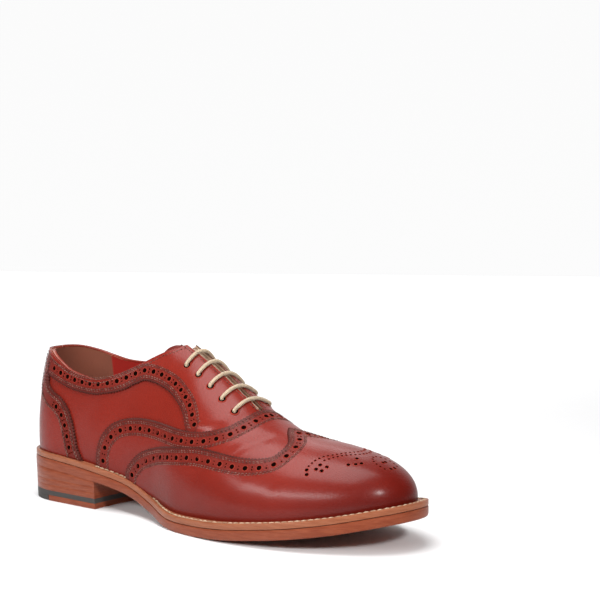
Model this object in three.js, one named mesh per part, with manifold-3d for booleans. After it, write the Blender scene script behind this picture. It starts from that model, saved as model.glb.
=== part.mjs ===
// A right-foot brogue oxford shoe: hollow upper with its overlays, tongue, lace, insole, welt,
// leather outsole and stacked heel, built round one surface of the last.
// Millimetres. +X points to the toe, +Y to the inner (medial) side, +Z up.
// The origin is on the floor, in the middle of the heel.
import * as THREE from 'three';
import { mergeVertices } from 'three/addons/utils/BufferGeometryUtils.js';
import Module from 'manifold-3d';

const wasm = await Module();
wasm.setup();

const LATERAL = -1;
const MEDIAL = 1;
const SIDES = [LATERAL, MEDIAL];

// The last
const LAST_LENGTH = 287;
const BALL_WIDTH = 92;
const INSTEP_HEIGHT = 92;
const HEEL_RISE = 22;
const TOE_SPRING = 16;
const HEEL_BACK_X = -36.9;
const HEEL_ROUND = 33;
const HEEL_SQUARENESS = 2.1;
const TOE_ROUND = 60;
const TOE_SQUARENESS = 2.15;
const RIDGE_START = 0.14;
const RIDGE_END = 0.86;
const RIDGE_SOFTNESS = 0.03;

// Leather of the upper
const WALL = 2.2;
const PANEL = 1.3;
const GAP = 0.3;
const PANEL_END_GAP = 0.5;

// Bottom
const WELT = 3.6;
const OUTSOLE = 6.3;
const WELT_INSET = 3.0;
const WELT_CHAMFER = 0.6;
const OUTSOLE_CHAMFER = 0.8;
const REVEAL_HEEL = 4.0;
const REVEAL_WAIST = 4.0;
const REVEAL_FOREPART = 9.3;
const INSOLE_GAP = 0.4;
const INSOLE_RISE = 0.8;

// Heel
const BREAST_AT = 0.2505;
const BREAST_X = HEEL_BACK_X + BREAST_AT * LAST_LENGTH;
const BREAST_HOLLOW = 2.5;
const HEEL_INSET = 0.6;
const HEEL_TAPER = 0.8;
const TOP_PIECE = 3.6;
const TIP_SPLIT_AT = 0.0937;
const TIP_SPLIT_X = HEEL_BACK_X + TIP_SPLIT_AT * LAST_LENGTH;
const RUBBER = 3.2;
const LIFT = 3.8;
const LIFT_COUNT = 2;

// Collar, slit, lacing and tongue
const BACK_HEIGHT = 98.5;
const THROAT_AT = 0.6512;
const THROAT_X = HEEL_BACK_X + THROAT_AT * LAST_LENGTH;
const SLIT_MOUTH_AT = 0.4213;
const SLIT_MOUTH_X = HEEL_BACK_X + SLIT_MOUTH_AT * LAST_LENGTH;
const SLIT_TOP_GAP = 7;
const SLIT_BOTTOM_GAP = 4;
const EYELET_ROWS = 5;
const EYELET_TOP_AT = 0.4666;
const EYELET_TOP_X = HEEL_BACK_X + EYELET_TOP_AT * LAST_LENGTH;
const EYELET_PITCH_SHARE = 0.0383;
const EYELET_PITCH = EYELET_PITCH_SHARE * LAST_LENGTH;
const EYELET_TOP_REACH = 12;
const EYELET_BOTTOM_REACH = 15;
const EYELET_DIAMETER = 3.6;
const LACE_DIAMETER = 2.6;
const LACE_ARCH = 1.4;
const SPINE_RISE = 1.2;
const TONGUE = 2.0;
const TONGUE_DIP = 2.4;
const TONGUE_LEAN = 2.5;

// Fineness of the meshes
const STATIONS = 30;
const ROWS = 8;
const STEP = 0.001;
const POLE_CLEAR = 0.015;
const RIDGE_CLEAR = 0.1;
const FLOOR_CLEAR = -30;
const WIDE = 90;
const HIGH = 190;

// Sections from heel to toe. at: share of the length. lateral, medial and swing: half widths and
// centre line as shares of the ball width. seat: share of the heel rise. spring: share of the toe
// spring. crest: height over the feather line as a share of the instep height. out, up and top:
// how far the side swells, how high it swells, and how flat the top is.
const SECTION_COLUMNS = ['at', 'lateral', 'medial', 'swing', 'seat', 'spring', 'crest', 'out', 'up', 'top'];
const SECTIONS = table(SECTION_COLUMNS, [
  [0.00, 0.326, 0.321, 0.000, 1.000, 0.000, 1.300, 0.11, 0.42, 0.500],
  [0.08, 0.319, 0.319, 0.000, 0.990, 0.000, 1.305, 0.11, 0.42, 0.550],
  [0.16, 0.320, 0.320, 0.000, 0.920, 0.000, 1.310, 0.11, 0.42, 0.600],
  [0.25, 0.326, 0.316, 0.000, 0.800, 0.000, 1.260, 0.11, 0.42, 0.580],
  [0.34, 0.300, 0.295, 0.000, 0.570, 0.000, 1.080, 0.13, 0.42, 0.545],
  [0.43, 0.333, 0.283, 0.000, 0.215, 0.000, 1.005, 0.15, 0.45, 0.515],
  [0.52, 0.407, 0.342, -0.016, 0.000, 0.000, 0.910, 0.15, 0.48, 0.495],
  [0.60, 0.427, 0.442, -0.033, 0.000, 0.000, 0.755, 0.13, 0.50, 0.495],
  [0.68, 0.444, 0.520, -0.033, 0.000, 0.080, 0.592, 0.11, 0.52, 0.495],
  [0.76, 0.434, 0.539, -0.016, 0.000, 0.235, 0.464, 0.09, 0.54, 0.515],
  [0.84, 0.412, 0.497, 0.016, 0.000, 0.425, 0.392, 0.07, 0.56, 0.535],
  [0.92, 0.373, 0.437, 0.038, 0.000, 0.675, 0.303, 0.06, 0.58, 0.555],
  [1.00, 0.337, 0.385, 0.054, 0.000, 1.000, 0.165, 0.06, 0.60, 0.575],
]);

// Topline seen from the side. at: share of the length. lateral and medial: shares of the back height.
const COLLAR = table(['at', 'lateral', 'medial'], [
  [0.00, 1.000, 1.000], [0.03, 1.000, 1.000], [0.06, 0.998, 0.972], [0.10, 0.950, 0.935],
  [0.14, 0.893, 0.912], [0.19, 0.858, 0.906], [0.245, 0.841, 0.914],
  [0.30, 0.891, 0.939], [0.35, 0.959, 0.985], [0.40, 1.035, 1.040],
  [0.43, 1.071, 1.071], [0.46, 1.140, 1.140],
]);

// Edges of the panels on the last's surface, alike on both sides. turn: 0 at the back of the heel
// to 1 at the toe. up: 0 at the feather line to 1 at the ridge.
const WING_EDGE = table(['turn', 'up'], [
  [0.396, 0.000], [0.398, 0.040], [0.408, 0.094], [0.429, 0.169], [0.467, 0.250],
  [0.517, 0.325], [0.554, 0.381], [0.592, 0.425], [0.637, 0.481], [0.665, 0.550],
  [0.675, 0.650], [0.672, 0.800], [0.654, 0.930], [0.646, 1.000],
]);
const VAMP_EDGE = table(['turn', 'up'], [
  [0.333, 0.000], [0.334, 0.050], [0.339, 0.106], [0.354, 0.175], [0.381, 0.250],
  [0.408, 0.300], [0.442, 0.344], [0.475, 0.375], [0.508, 0.406], [0.537, 0.450],
  [0.558, 0.506], [0.579, 0.600], [0.591, 0.720], [0.596, 0.840], [0.597, 1.000],
]);
const FACING_EDGE = table(['turn', 'up'], [
  [0.150, 0.330], [0.200, 0.306], [0.242, 0.288], [0.283, 0.281], [0.321, 0.290],
  [0.350, 0.325], [0.375, 0.381], [0.400, 0.463], [0.421, 0.519], [0.442, 0.541],
  [0.467, 0.550], [0.492, 0.531], [0.510, 0.488], [0.517, 0.452], [0.526, 0.438],
]);
const COUNTER_EDGE = table(['turn', 'up'], [
  [0.296, 0.000], [0.284, 0.038], [0.276, 0.094], [0.267, 0.150], [0.251, 0.200],
  [0.229, 0.231], [0.200, 0.250], [0.170, 0.268], [0.152, 0.300], [0.146, 0.360],
  [0.146, 0.480],
]);
const TONGUE_EDGE = table(['turn', 'up'], [
  [0.620, 1.000], [0.620, 0.880], [0.600, 0.800], [0.550, 0.720], [0.500, 0.680],
  [0.465, 0.640], [0.440, 0.615], [0.428, 0.630], [0.424, 0.700], [0.428, 0.780],
  [0.437, 0.870], [0.444, 0.940], [0.447, 1.000],
]);

// Small maths

function table(columns, rows) {
  return rows.map((row) => Object.fromEntries(columns.map((name, k) => [name, row[k]])));
}

function mix(a, b, share) {
  return a + (b - a) * share;
}

function clamp(value, low, high) {
  return Math.min(Math.max(value, low), high);
}

// 0 below start, 1 above end, smooth between
function ease(value, start, end) {
  const share = clamp((value - start) / (end - start), 0, 1);
  return share * share * (3 - 2 * share);
}

// Rises from 0 to the value itself, softly
function softRamp(value, softness) {
  return softness * Math.log1p(Math.exp(value / softness));
}

// Slopes of one column of a table at its rows, from the rows on either side
function slopes(table, column) {
  return table.map((row, i) => {
    const before = table[Math.max(i - 1, 0)];
    const after = table[Math.min(i + 1, table.length - 1)];
    const back = row.at - before.at;
    const front = after.at - row.at;
    if (back === 0) return (after[column] - row[column]) / front;
    if (front === 0) return (row[column] - before[column]) / back;
    const rise = (after[column] - row[column]) * back * back + (row[column] - before[column]) * front * front;
    return rise / (back * front * (back + front));
  });
}

// A smooth curve through one column of a table, straight beyond its ends
function smoothColumn(table, column) {
  const slope = slopes(table, column);
  const last = table.length - 1;
  return (at) => {
    if (at <= table[0].at) return table[0][column] + slope[0] * (at - table[0].at);
    if (at >= table[last].at) return table[last][column] + slope[last] * (at - table[last].at);
    const next = table.findIndex((row) => row.at > at);
    const a = table[next - 1];
    const b = table[next];
    const run = b.at - a.at;
    const t = (at - a.at) / run;
    const t2 = t * t;
    const t3 = t2 * t;
    return (2 * t3 - 3 * t2 + 1) * a[column] + (t3 - 2 * t2 + t) * run * slope[next - 1]
      + (3 * t2 - 2 * t3) * b[column] + (t3 - t2) * run * slope[next];
  };
}

// The last

const SOLE_STACK = WELT + GAP + OUTSOLE;
const column = {};
for (const name of ['lateral', 'medial', 'swing', 'seat', 'spring', 'crest', 'out', 'up', 'top']) {
  column[name] = smoothColumn(SECTIONS, name);
}

function atOfTurn(turn) {
  return 0.5 - 0.5 * Math.cos(Math.PI * turn);
}

function turnOfAt(at) {
  return Math.acos(1 - 2 * at) / Math.PI;
}

function atOfX(x) {
  return (x - HEEL_BACK_X) / LAST_LENGTH;
}

function xOfAt(at) {
  return HEEL_BACK_X + at * LAST_LENGTH;
}

function centreY(at) {
  return column.swing(at) * BALL_WIDTH;
}

// Height of the feather line, where the upper meets the welt
function bedHeight(at) {
  return SOLE_STACK + column.seat(at) * HEEL_RISE + column.spring(at) * TOE_SPRING;
}

function crestHeight(at) {
  return bedHeight(at) + column.crest(at) * INSTEP_HEIGHT;
}

// Width as a share of the full one, closing round at heel and toe
function endRound(at) {
  const fromHeel = at * LAST_LENGTH;
  const fromToe = LAST_LENGTH - fromHeel;
  const heel = clamp(1 - fromHeel / HEEL_ROUND, 0, 1);
  const toe = clamp(1 - fromToe / TOE_ROUND, 0, 1);
  const heelRound = (1 - heel ** HEEL_SQUARENESS) ** (1 / HEEL_SQUARENESS);
  return heelRound * (1 - toe ** TOE_SQUARENESS) ** (1 / TOE_SQUARENESS);
}

function footPoint(turn, side) {
  const at = atOfTurn(turn);
  const half = (side === LATERAL ? column.lateral(at) : column.medial(at)) * BALL_WIDTH * endRound(at);
  return new THREE.Vector3(xOfAt(at), centreY(at) + side * half, bedHeight(at));
}

// The ridge's own share of the length: that of the foot, held back at both ends
function ridgeAt(turn) {
  const at = atOfTurn(turn);
  return at - softRamp(at - RIDGE_END, RIDGE_SOFTNESS) + softRamp(RIDGE_START - at, RIDGE_SOFTNESS);
}

function ridgePoint(turn) {
  const at = ridgeAt(turn);
  return new THREE.Vector3(xOfAt(at), centreY(at), crestHeight(at));
}

// A share past the ridge, heel or toe comes back down the other side
function foldOver(turn, up, side) {
  const over = up > 1;
  const past = turn < 0 || turn > 1;
  return {
    turn: turn < 0 ? -turn : turn > 1 ? 2 - turn : turn,
    up: over ? 2 - up : up,
    side: over === past ? side : -side,
  };
}

// A point of the last's surface. Each section is a cubic curve from the foot point up to the
// ridge point, first outwards and up, then in over the top along the ridge's own slope.
function skin(turnIn, upIn, sideIn) {
  const { turn, up, side } = foldOver(turnIn, upIn, sideIn);
  const at = atOfTurn(turn);
  const foot = footPoint(turn, side);
  const ridge = ridgePoint(turn);
  const v = Math.max(up, 0);
  const b0 = (1 - v) ** 3;
  const b1 = 3 * v * (1 - v) ** 2;
  const b2 = 3 * v * v * (1 - v);
  const b3 = v ** 3;
  const reach = foot.clone().sub(ridge);
  const spread = b0 + b1 * (1 + column.out(at)) + b2 * column.top(at);
  const ridgeShare = ridgeAt(turn);
  const ridgeSlope = (crestHeight(ridgeShare + STEP) - crestHeight(ridgeShare)) / (STEP * LAST_LENGTH);
  const climb = (ridge.z - foot.z) * (b1 * column.up(at) + b2 + b3);
  const z = foot.z + climb + b2 * ridgeSlope * reach.x * column.top(at);
  return new THREE.Vector3(ridge.x + reach.x * spread, ridge.y + reach.y * spread, z);
}

function sideNormal(turnIn, upIn, side) {
  const ends = mix(POLE_CLEAR, RIDGE_CLEAR, ease(upIn, 0.6, 1));
  const turn = clamp(turnIn, ends, 1 - ends);
  const up = clamp(upIn, STEP, 1 - POLE_CLEAR);
  const along = skin(turn + STEP, up, side).sub(skin(turn - STEP, up, side));
  const over = skin(turn, up + STEP, side).sub(skin(turn, up - STEP, side));
  return along.cross(over).multiplyScalar(-side).normalize();
}

// Outward normal, shared by both sides on the heel line, the toe line and the ridge
function normal(turnIn, upIn, sideIn) {
  const { turn, up, side } = foldOver(turnIn, upIn, sideIn);
  const own = sideNormal(turn, up, side);
  if (turn > 0 && turn < 1 && up < 1) return own;
  return own.add(sideNormal(turn, up, -side)).normalize();
}

function raised(turn, up, side, height) {
  return skin(turn, up, side).addScaledVector(normal(turn, up, side), height);
}

// Solids

// A closed solid from points and triangles of point numbers
function solid(points, triangles) {
  const vertProperties = new Float32Array(points.flatMap((p) => [p.x, p.y, p.z]));
  const triVerts = new Uint32Array(triangles.flat());
  const shape = new wasm.Manifold(new wasm.Mesh({ numProp: 3, vertProperties, triVerts }));
  return shape.volume() < 0 ? solid(points, triangles.map(([a, b, c]) => [a, c, b])) : shape;
}

function solidOfGeometry(geometry) {
  geometry.deleteAttribute('normal');
  geometry.deleteAttribute('uv');
  const merged = mergeVertices(geometry, 1e-4);
  const position = merged.attributes.position;
  const point = (_, i) => new THREE.Vector3().fromBufferAttribute(position, i);
  const points = Array.from({ length: position.count }, point);
  const index = Array.from(merged.index.array);
  const triangles = Array.from({ length: index.length / 3 }, (_, i) => index.slice(3 * i, 3 * i + 3));
  return solid(points, triangles);
}

// The whole last, swollen by height (a number, or a function of turn and up), carried straight
// down below the floor so that one cut can end it on the welt
function form(height) {
  const points = [];
  const numbers = new Map();
  const swell = typeof height === 'function' ? height : () => height;
  const number = (side, i, j) => {
    const shared = i === 0 || i === STATIONS || j === ROWS;
    const key = `${shared ? 0 : side} ${i} ${j}`;
    if (!numbers.has(key)) {
      const turn = i / STATIONS;
      const up = Math.max(j, 0) / ROWS;
      const point = raised(turn, up, side, swell(turn, up));
      if (j < 0) point.z = FLOOR_CLEAR;
      numbers.set(key, points.push(point) - 1);
    }
    return numbers.get(key);
  };
  const triangles = [];
  const quad = (a, b, c, d) => triangles.push([a, b, c], [a, c, d]);
  for (let i = 0; i < STATIONS; i += 1) {
    for (let j = -1; j < ROWS; j += 1) {
      const [k, l] = [i + 1, j + 1];
      quad(number(LATERAL, i, j), number(LATERAL, k, j), number(LATERAL, k, l), number(LATERAL, i, l));
      quad(number(MEDIAL, i, l), number(MEDIAL, k, l), number(MEDIAL, k, j), number(MEDIAL, i, j));
    }
    const next = i + 1;
    quad(number(LATERAL, i, -1), number(MEDIAL, i, -1), number(MEDIAL, next, -1), number(LATERAL, next, -1));
  }
  return solid(points, triangles.filter(([a, b, c]) => a !== b && b !== c && c !== a));
}

// Splits the edges of a flat triangle mesh that are longer than the limit, once
function splitLongEdges(corners, triangles, limit) {
  const middles = new Map();
  const middle = (a, b) => {
    if (corners[a].distanceTo(corners[b]) <= limit) return null;
    const key = a < b ? `${a} ${b}` : `${b} ${a}`;
    if (!middles.has(key)) middles.set(key, corners.push(corners[a].clone().lerp(corners[b], 0.5)) - 1);
    return middles.get(key);
  };
  return triangles.flatMap(([a, b, c]) => {
    const ab = middle(a, b);
    const bc = middle(b, c);
    const ca = middle(c, a);
    if (ab !== null && bc !== null && ca !== null) {
      return [[a, ab, ca], [b, bc, ab], [c, ca, bc], [ab, bc, ca]];
    }
    if (ab !== null && bc !== null) return [[ab, b, bc], [a, ab, bc], [a, bc, c]];
    if (bc !== null && ca !== null) return [[bc, c, ca], [b, bc, ca], [b, ca, a]];
    if (ca !== null && ab !== null) return [[ca, a, ab], [c, ca, ab], [c, ab, b]];
    if (ab !== null) return [[a, ab, c], [ab, b, c]];
    if (bc !== null) return [[b, bc, a], [bc, c, a]];
    if (ca !== null) return [[c, ca, b], [ca, a, b]];
    return [[a, b, c]];
  });
}

const CUTTER_DEPTH = 5;
const TONGUE_CUTTER_DEPTH = 9;
const CUTTER_HEIGHT = 7;
const CUTTER_SPLITS = 4;
const LONGEST_EDGE = 0.13;

// A thick patch over the part of one side that an outline on the surface encloses
function patch(outline, side, depth = CUTTER_DEPTH) {
  const corners = outline.map(({ turn, up }) => new THREE.Vector2(turn, up));
  let triangles = THREE.ShapeUtils.triangulateShape(corners, []);
  for (let i = 0; i < CUTTER_SPLITS; i += 1) triangles = splitLongEdges(corners, triangles, LONGEST_EDGE);
  const count = corners.length;
  const level = (height) => corners.map((c) => {
    const point = raised(c.x, Math.max(c.y, 0), side, height);
    if (c.y < 0) point.z = FLOOR_CLEAR;
    return point;
  });
  const edges = new Map();
  for (const [a, b, c] of triangles) {
    for (const [from, to] of [[a, b], [b, c], [c, a]]) {
      if (!edges.delete(`${to} ${from}`)) edges.set(`${from} ${to}`, [from, to]);
    }
  }
  const walls = [...edges.values()].flatMap(([a, b]) => [[a, b, b + count], [a, b + count, a + count]]);
  const top = triangles.map(([a, b, c]) => [a, b, c].map((n) => n + count));
  const bottom = triangles.map(([a, b, c]) => [a, c, b]);
  return solid([...level(-depth), ...level(CUTTER_HEIGHT)], [...top, ...bottom, ...walls]);
}

// The same outline cut on both sides and joined over the ridge
function patches(outline, depth = CUTTER_DEPTH) {
  return patch(outline, LATERAL, depth).add(patch(outline, MEDIAL, depth));
}

// Side view outline (x, z) as a wall across y
function wallAcross(outline, yLow, yHigh) {
  const shape = new THREE.Shape(outline.map(([x, z]) => new THREE.Vector2(x, z)));
  const geometry = new THREE.ExtrudeGeometry(shape, { depth: yHigh - yLow, bevelEnabled: false, steps: 1 });
  geometry.rotateX(Math.PI / 2);
  geometry.translate(0, yHigh, 0);
  return solidOfGeometry(geometry);
}

// Plan outline (x, y) as a block up z
function block(outline, zLow, zHigh) {
  const shape = new THREE.Shape(outline.map(([x, y]) => new THREE.Vector2(x, y)));
  const geometry = new THREE.ExtrudeGeometry(shape, { depth: zHigh - zLow, bevelEnabled: false, steps: 1 });
  geometry.translate(0, 0, zLow);
  return solidOfGeometry(geometry);
}

function series(count, from, to) {
  return Array.from({ length: count + 1 }, (_, i) => mix(from, to, i / count));
}

// Cutters for the upper

// Everything under the welt's top face
function bedCutter() {
  const low = atOfX(HEEL_BACK_X - 10);
  const high = atOfX(HEEL_BACK_X + LAST_LENGTH + 10);
  const curve = series(STATIONS, low, high).map((at) => [xOfAt(at), bedHeight(at) + GAP]);
  const first = curve[0][0];
  const end = curve[curve.length - 1][0];
  return wallAcross([...curve, [end, FLOOR_CLEAR - 10], [first, FLOOR_CLEAR - 10]], -WIDE, WIDE);
}

const COLLAR_STEPS = 20;

// Everything above the topline of one side
function collarCutter(side) {
  const height = smoothColumn(COLLAR, side === LATERAL ? 'lateral' : 'medial');
  const end = COLLAR[COLLAR.length - 1].at;
  const line = series(COLLAR_STEPS, 0, end).map((at) => [xOfAt(at), height(at) * BACK_HEIGHT]);
  const behind = HEEL_BACK_X - 10;
  const outline = [[behind, BACK_HEIGHT], ...line, [line[COLLAR_STEPS][0], HIGH], [behind, HIGH]];
  return side === LATERAL ? wallAcross(outline, -WIDE, 0) : wallAcross(outline, 0, WIDE);
}

const SLIT_STEPS = 8;
const SLIT_FLOOR = 55;

// The opening between the facings, round at the throat
function slitCutter() {
  const bottomX = THROAT_X - SLIT_BOTTOM_GAP;
  const stations = series(SLIT_STEPS, SLIT_MOUTH_X, bottomX);
  const edge = (side) => stations.map((x) => {
    const half = mix(SLIT_TOP_GAP, SLIT_BOTTOM_GAP, (x - SLIT_MOUTH_X) / (bottomX - SLIT_MOUTH_X)) / 2;
    return [x, centreY(atOfX(x)) + side * half];
  });
  const front = [[SLIT_MOUTH_X - 30, -SLIT_TOP_GAP / 2], [SLIT_MOUTH_X - 30, SLIT_TOP_GAP / 2]];
  const tip = [THROAT_X - SLIT_BOTTOM_GAP / 2, centreY(atOfX(THROAT_X))];
  return block([front[0], ...edge(LATERAL), tip, ...edge(MEDIAL).reverse(), front[1]], SLIT_FLOOR, HIGH);
}

// The place on the surface that lies at a plan position near the ridge
function placeAbove(x, reach, side) {
  let turn = turnOfAt(atOfX(x));
  let up = 0.8;
  for (let round = 0; round < 6; round += 1) {
    let low = 0.4;
    let high = 1;
    for (let i = 0; i < 20; i += 1) {
      up = (low + high) / 2;
      const away = side * (skin(turn, up, side).y - centreY(atOfX(x)));
      if (away > reach) low = up;
      else high = up;
    }
    turn += turnOfAt(atOfX(x)) - turnOfAt(atOfX(skin(turn, up, side).x));
  }
  return { turn, up };
}

function eyeletPlaces() {
  return Array.from({ length: EYELET_ROWS }, (_, row) => {
    const x = EYELET_TOP_X + row * EYELET_PITCH;
    const reach = mix(EYELET_TOP_REACH, EYELET_BOTTOM_REACH, row / (EYELET_ROWS - 1));
    return SIDES.map((side) => ({ side, ...placeAbove(x, reach, side) }));
  });
}

const EYELET_SIDES = 8;

function eyeletCutter() {
  const reach = WALL + PANEL + GAP + 2;
  const holes = eyeletPlaces().flat().map(({ turn, up, side }) => {
    const radius = EYELET_DIAMETER / 2;
    const geometry = new THREE.CylinderGeometry(radius, radius, 2 * reach, EYELET_SIDES);
    const direction = normal(turn, up, side);
    const upright = new THREE.Vector3(0, 1, 0);
    geometry.applyQuaternion(new THREE.Quaternion().setFromUnitVectors(upright, direction));
    const centre = skin(turn, up, side);
    geometry.translate(centre.x, centre.y, centre.z);
    return solidOfGeometry(geometry);
  });
  return holes.reduce((all, hole) => all.add(hole));
}

// Outlines on the surface

const turnGap = PANEL_END_GAP / LAST_LENGTH;
const PAST = 0.08;
const UNDER = -0.1;

// All that lies behind an edge that runs from the feather line to the ridge
function rearOutline(edge) {
  const start = edge[0];
  const end = edge[edge.length - 1];
  return [
    ...edge, { turn: end.turn - 0.07, up: 1 + PAST }, { turn: 0.30, up: 1 + PAST }, { turn: 0.25, up: 0.90 },
    { turn: -PAST, up: 0.90 }, { turn: -PAST, up: UNDER }, { turn: start.turn, up: UNDER },
  ];
}
const counterOutline = (shift) => [
  ...COUNTER_EDGE.map(({ turn, up }) => ({ turn: turn + shift, up })),
  { turn: -PAST, up: 0.48 }, { turn: -PAST, up: UNDER }, { turn: COUNTER_EDGE[0].turn + shift, up: UNDER },
];
const facingOutline = [
  { turn: 0.100, up: 0.350 }, ...FACING_EDGE,
  ...VAMP_EDGE.filter(({ up }) => up > 0.44).map(({ turn, up }) => ({ turn: turn - turnGap, up })),
  { turn: 0.380, up: 1.000 }, { turn: 0.330, up: 0.700 },
  { turn: 0.200, up: 0.600 }, { turn: 0.100, up: 0.600 },
];
const tongueOutline = [
  ...TONGUE_EDGE, { turn: 0.500, up: 1 + PAST }, { turn: 0.580, up: 1 + PAST },
];

// Pieces of the upper

const bed = bedCutter();
const opening = collarCutter(LATERAL).add(collarCutter(MEDIAL)).add(slitCutter());
const eyelets = eyeletCutter();
const vampStep = PANEL;

function trimmed(shape) {
  return shape.subtract(bed).subtract(opening).subtract(eyelets);
}

function makeUpper() {
  const vamp = form(vampStep).subtract(patches(rearOutline(VAMP_EDGE)));
  return trimmed(form(0).add(vamp).subtract(form(-WALL)));
}

function layer(from) {
  return form(from + PANEL).subtract(form(from));
}

function makeWingCap() {
  return trimmed(layer(vampStep + GAP).subtract(patches(rearOutline(WING_EDGE))));
}

function makeFacing(side) {
  return trimmed(layer(GAP).intersect(patch(facingOutline, side))).subtract(patches(counterOutline(turnGap)));
}

function makeCounter() {
  return trimmed(layer(GAP).intersect(patches(counterOutline(0))));
}

// How far the tongue sinks under the lacing, and leans in at its tip
function tongueSink(turn) {
  const lacing = TONGUE_DIP * ease(turn, 0.45, 0.49) * (1 - ease(turn, 0.56, 0.60));
  return lacing + TONGUE_LEAN * (1 - ease(turn, 0.42, 0.47));
}

function makeTongue() {
  const top = (turn) => -(WALL + GAP) - tongueSink(turn);
  const bottom = (turn) => top(turn) - TONGUE;
  return form(top).subtract(form(bottom)).intersect(patches(tongueOutline, TONGUE_CUTTER_DEPTH));
}

// Bottom pieces, worked out from the feather line's plan

function reveal(at) {
  const back = mix(REVEAL_HEEL, REVEAL_WAIST, ease(at, 0.15, 0.35));
  return mix(back, REVEAL_FOREPART, ease(at, 0.36, 0.62));
}

// A plan point beside the feather line, outwards by so much
function beside(turn, side, outwards) {
  const ahead = foldOver(turn + STEP, 0, side);
  const behind = foldOver(turn - STEP, 0, side);
  const run = footPoint(ahead.turn, ahead.side).sub(footPoint(behind.turn, behind.side));
  const length = Math.hypot(run.x, run.y);
  const foot = footPoint(turn, side);
  return [foot.x - side * (run.y / length) * outwards, foot.y + side * (run.x / length) * outwards];
}

// A height that follows the bed, so much lower and never under the floor
function underBed(drop) {
  return (x) => Math.max(bedHeight(atOfX(x)) - drop, 0);
}

function level(height) {
  return () => height;
}

// A plate through a stack of rims, each { outwards(at), z(x) }, from its top rim to its bottom rim
function plate(rims, lastStation = STATIONS) {
  const points = [];
  const numbers = new Map();
  const number = (rim, side, i) => {
    const key = `${rim} ${i === 0 || i === STATIONS ? 0 : side} ${i}`;
    if (!numbers.has(key)) {
      const turn = i / STATIONS;
      const [x, y] = beside(turn, side, rims[rim].outwards(atOfTurn(turn)));
      numbers.set(key, points.push(new THREE.Vector3(x, y, rims[rim].z(x))) - 1);
    }
    return numbers.get(key);
  };
  const triangles = [];
  const quad = (a, b, c, d) => triangles.push([a, b, c], [a, c, d]);
  const bottom = rims.length - 1;
  for (let i = 0; i < lastStation; i += 1) {
    const k = i + 1;
    quad(number(0, LATERAL, i), number(0, LATERAL, k), number(0, MEDIAL, k), number(0, MEDIAL, i));
    const [c, d] = [number(bottom, LATERAL, k), number(bottom, LATERAL, i)];
    quad(number(bottom, MEDIAL, i), number(bottom, MEDIAL, k), c, d);
    for (let rim = 0; rim < bottom; rim += 1) {
      const low = rim + 1;
      const [e, f] = [number(low, LATERAL, i), number(low, LATERAL, k)];
      quad(number(rim, LATERAL, k), number(rim, LATERAL, i), e, f);
      quad(number(rim, MEDIAL, i), number(rim, MEDIAL, k), number(low, MEDIAL, k), number(low, MEDIAL, i));
    }
  }
  if (lastStation < STATIONS) {
    for (let rim = 0; rim < bottom; rim += 1) {
      const [a, b] = [number(rim, MEDIAL, lastStation), number(rim, LATERAL, lastStation)];
      quad(a, b, number(rim + 1, LATERAL, lastStation), number(rim + 1, MEDIAL, lastStation));
    }
  }
  return solid(points, triangles.filter(([a, b, c]) => a !== b && b !== c && c !== a));
}

const shelf = (extra) => (at) => reveal(at) + extra;
const inset = (amount) => () => -amount;

function makeWelt() {
  const ring = plate([
    { outwards: shelf(-WELT_CHAMFER), z: underBed(0) },
    { outwards: shelf(0), z: underBed(WELT_CHAMFER) },
    { outwards: shelf(0), z: underBed(WELT) },
  ]);
  const hole = plate([
    { outwards: inset(WELT_INSET), z: underBed(-5) },
    { outwards: inset(WELT_INSET), z: underBed(WELT + 5) },
  ]);
  return ring.subtract(hole);
}

function makeOutsole() {
  return plate([
    { outwards: shelf(0), z: underBed(WELT + GAP) },
    { outwards: shelf(0), z: underBed(SOLE_STACK - OUTSOLE_CHAMFER) },
    { outwards: shelf(-OUTSOLE_CHAMFER), z: underBed(SOLE_STACK) },
  ]);
}

function makeInsole() {
  const outwards = inset(WELT_INSET + INSOLE_GAP);
  return plate([{ outwards, z: underBed(-INSOLE_RISE) }, { outwards, z: underBed(WELT) }]);
}

// Heel, counted up from the floor

const BREAST_STEPS = 8;

function breastCutter() {
  const half = 0.36 * BALL_WIDTH;
  const hollow = (y) => BREAST_HOLLOW * (1 - (y / half) ** 2);
  const curve = series(BREAST_STEPS, -half, half).map((y) => [BREAST_X - hollow(y), y]);
  const far = BREAST_X + WIDE;
  return block([...curve, [BREAST_X, WIDE], [far, WIDE], [far, -WIDE], [BREAST_X, -WIDE]], FLOOR_CLEAR, HIGH);
}

const breast = breastCutter();
const heelStation = Math.ceil(turnOfAt(atOfX(BREAST_X + 6)) * STATIONS);
const heelTop = bedHeight(0) - SOLE_STACK;

function heelLayer(low, high) {
  const outwards = (height) => shelf(-HEEL_INSET - HEEL_TAPER * (1 - height / heelTop));
  const zHigh = high === undefined ? underBed(SOLE_STACK + GAP) : level(high);
  const topRim = { outwards: outwards(high ?? heelTop), z: zHigh };
  const rims = [topRim, { outwards: outwards(low), z: level(low) }];
  return plate(rims, heelStation).subtract(breast);
}

const topPiece = heelLayer(0, TOP_PIECE);
const tipOutline = [[TIP_SPLIT_X, -WIDE], [TIP_SPLIT_X, WIDE], [-WIDE, WIDE], [-WIDE, -WIDE]];
const tipHalf = block(tipOutline, FLOOR_CLEAR, HIGH);
const pieceHalf = block([
  [TIP_SPLIT_X + GAP, -WIDE], [WIDE, -WIDE], [WIDE, WIDE], [TIP_SPLIT_X + GAP, WIDE],
], FLOOR_CLEAR, HIGH);
const liftBase = TOP_PIECE + RUBBER;

// Lace: a bar over each pair of eyelets, and a strand down the slit that joins them

const LACE_FACES = 8;

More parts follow.
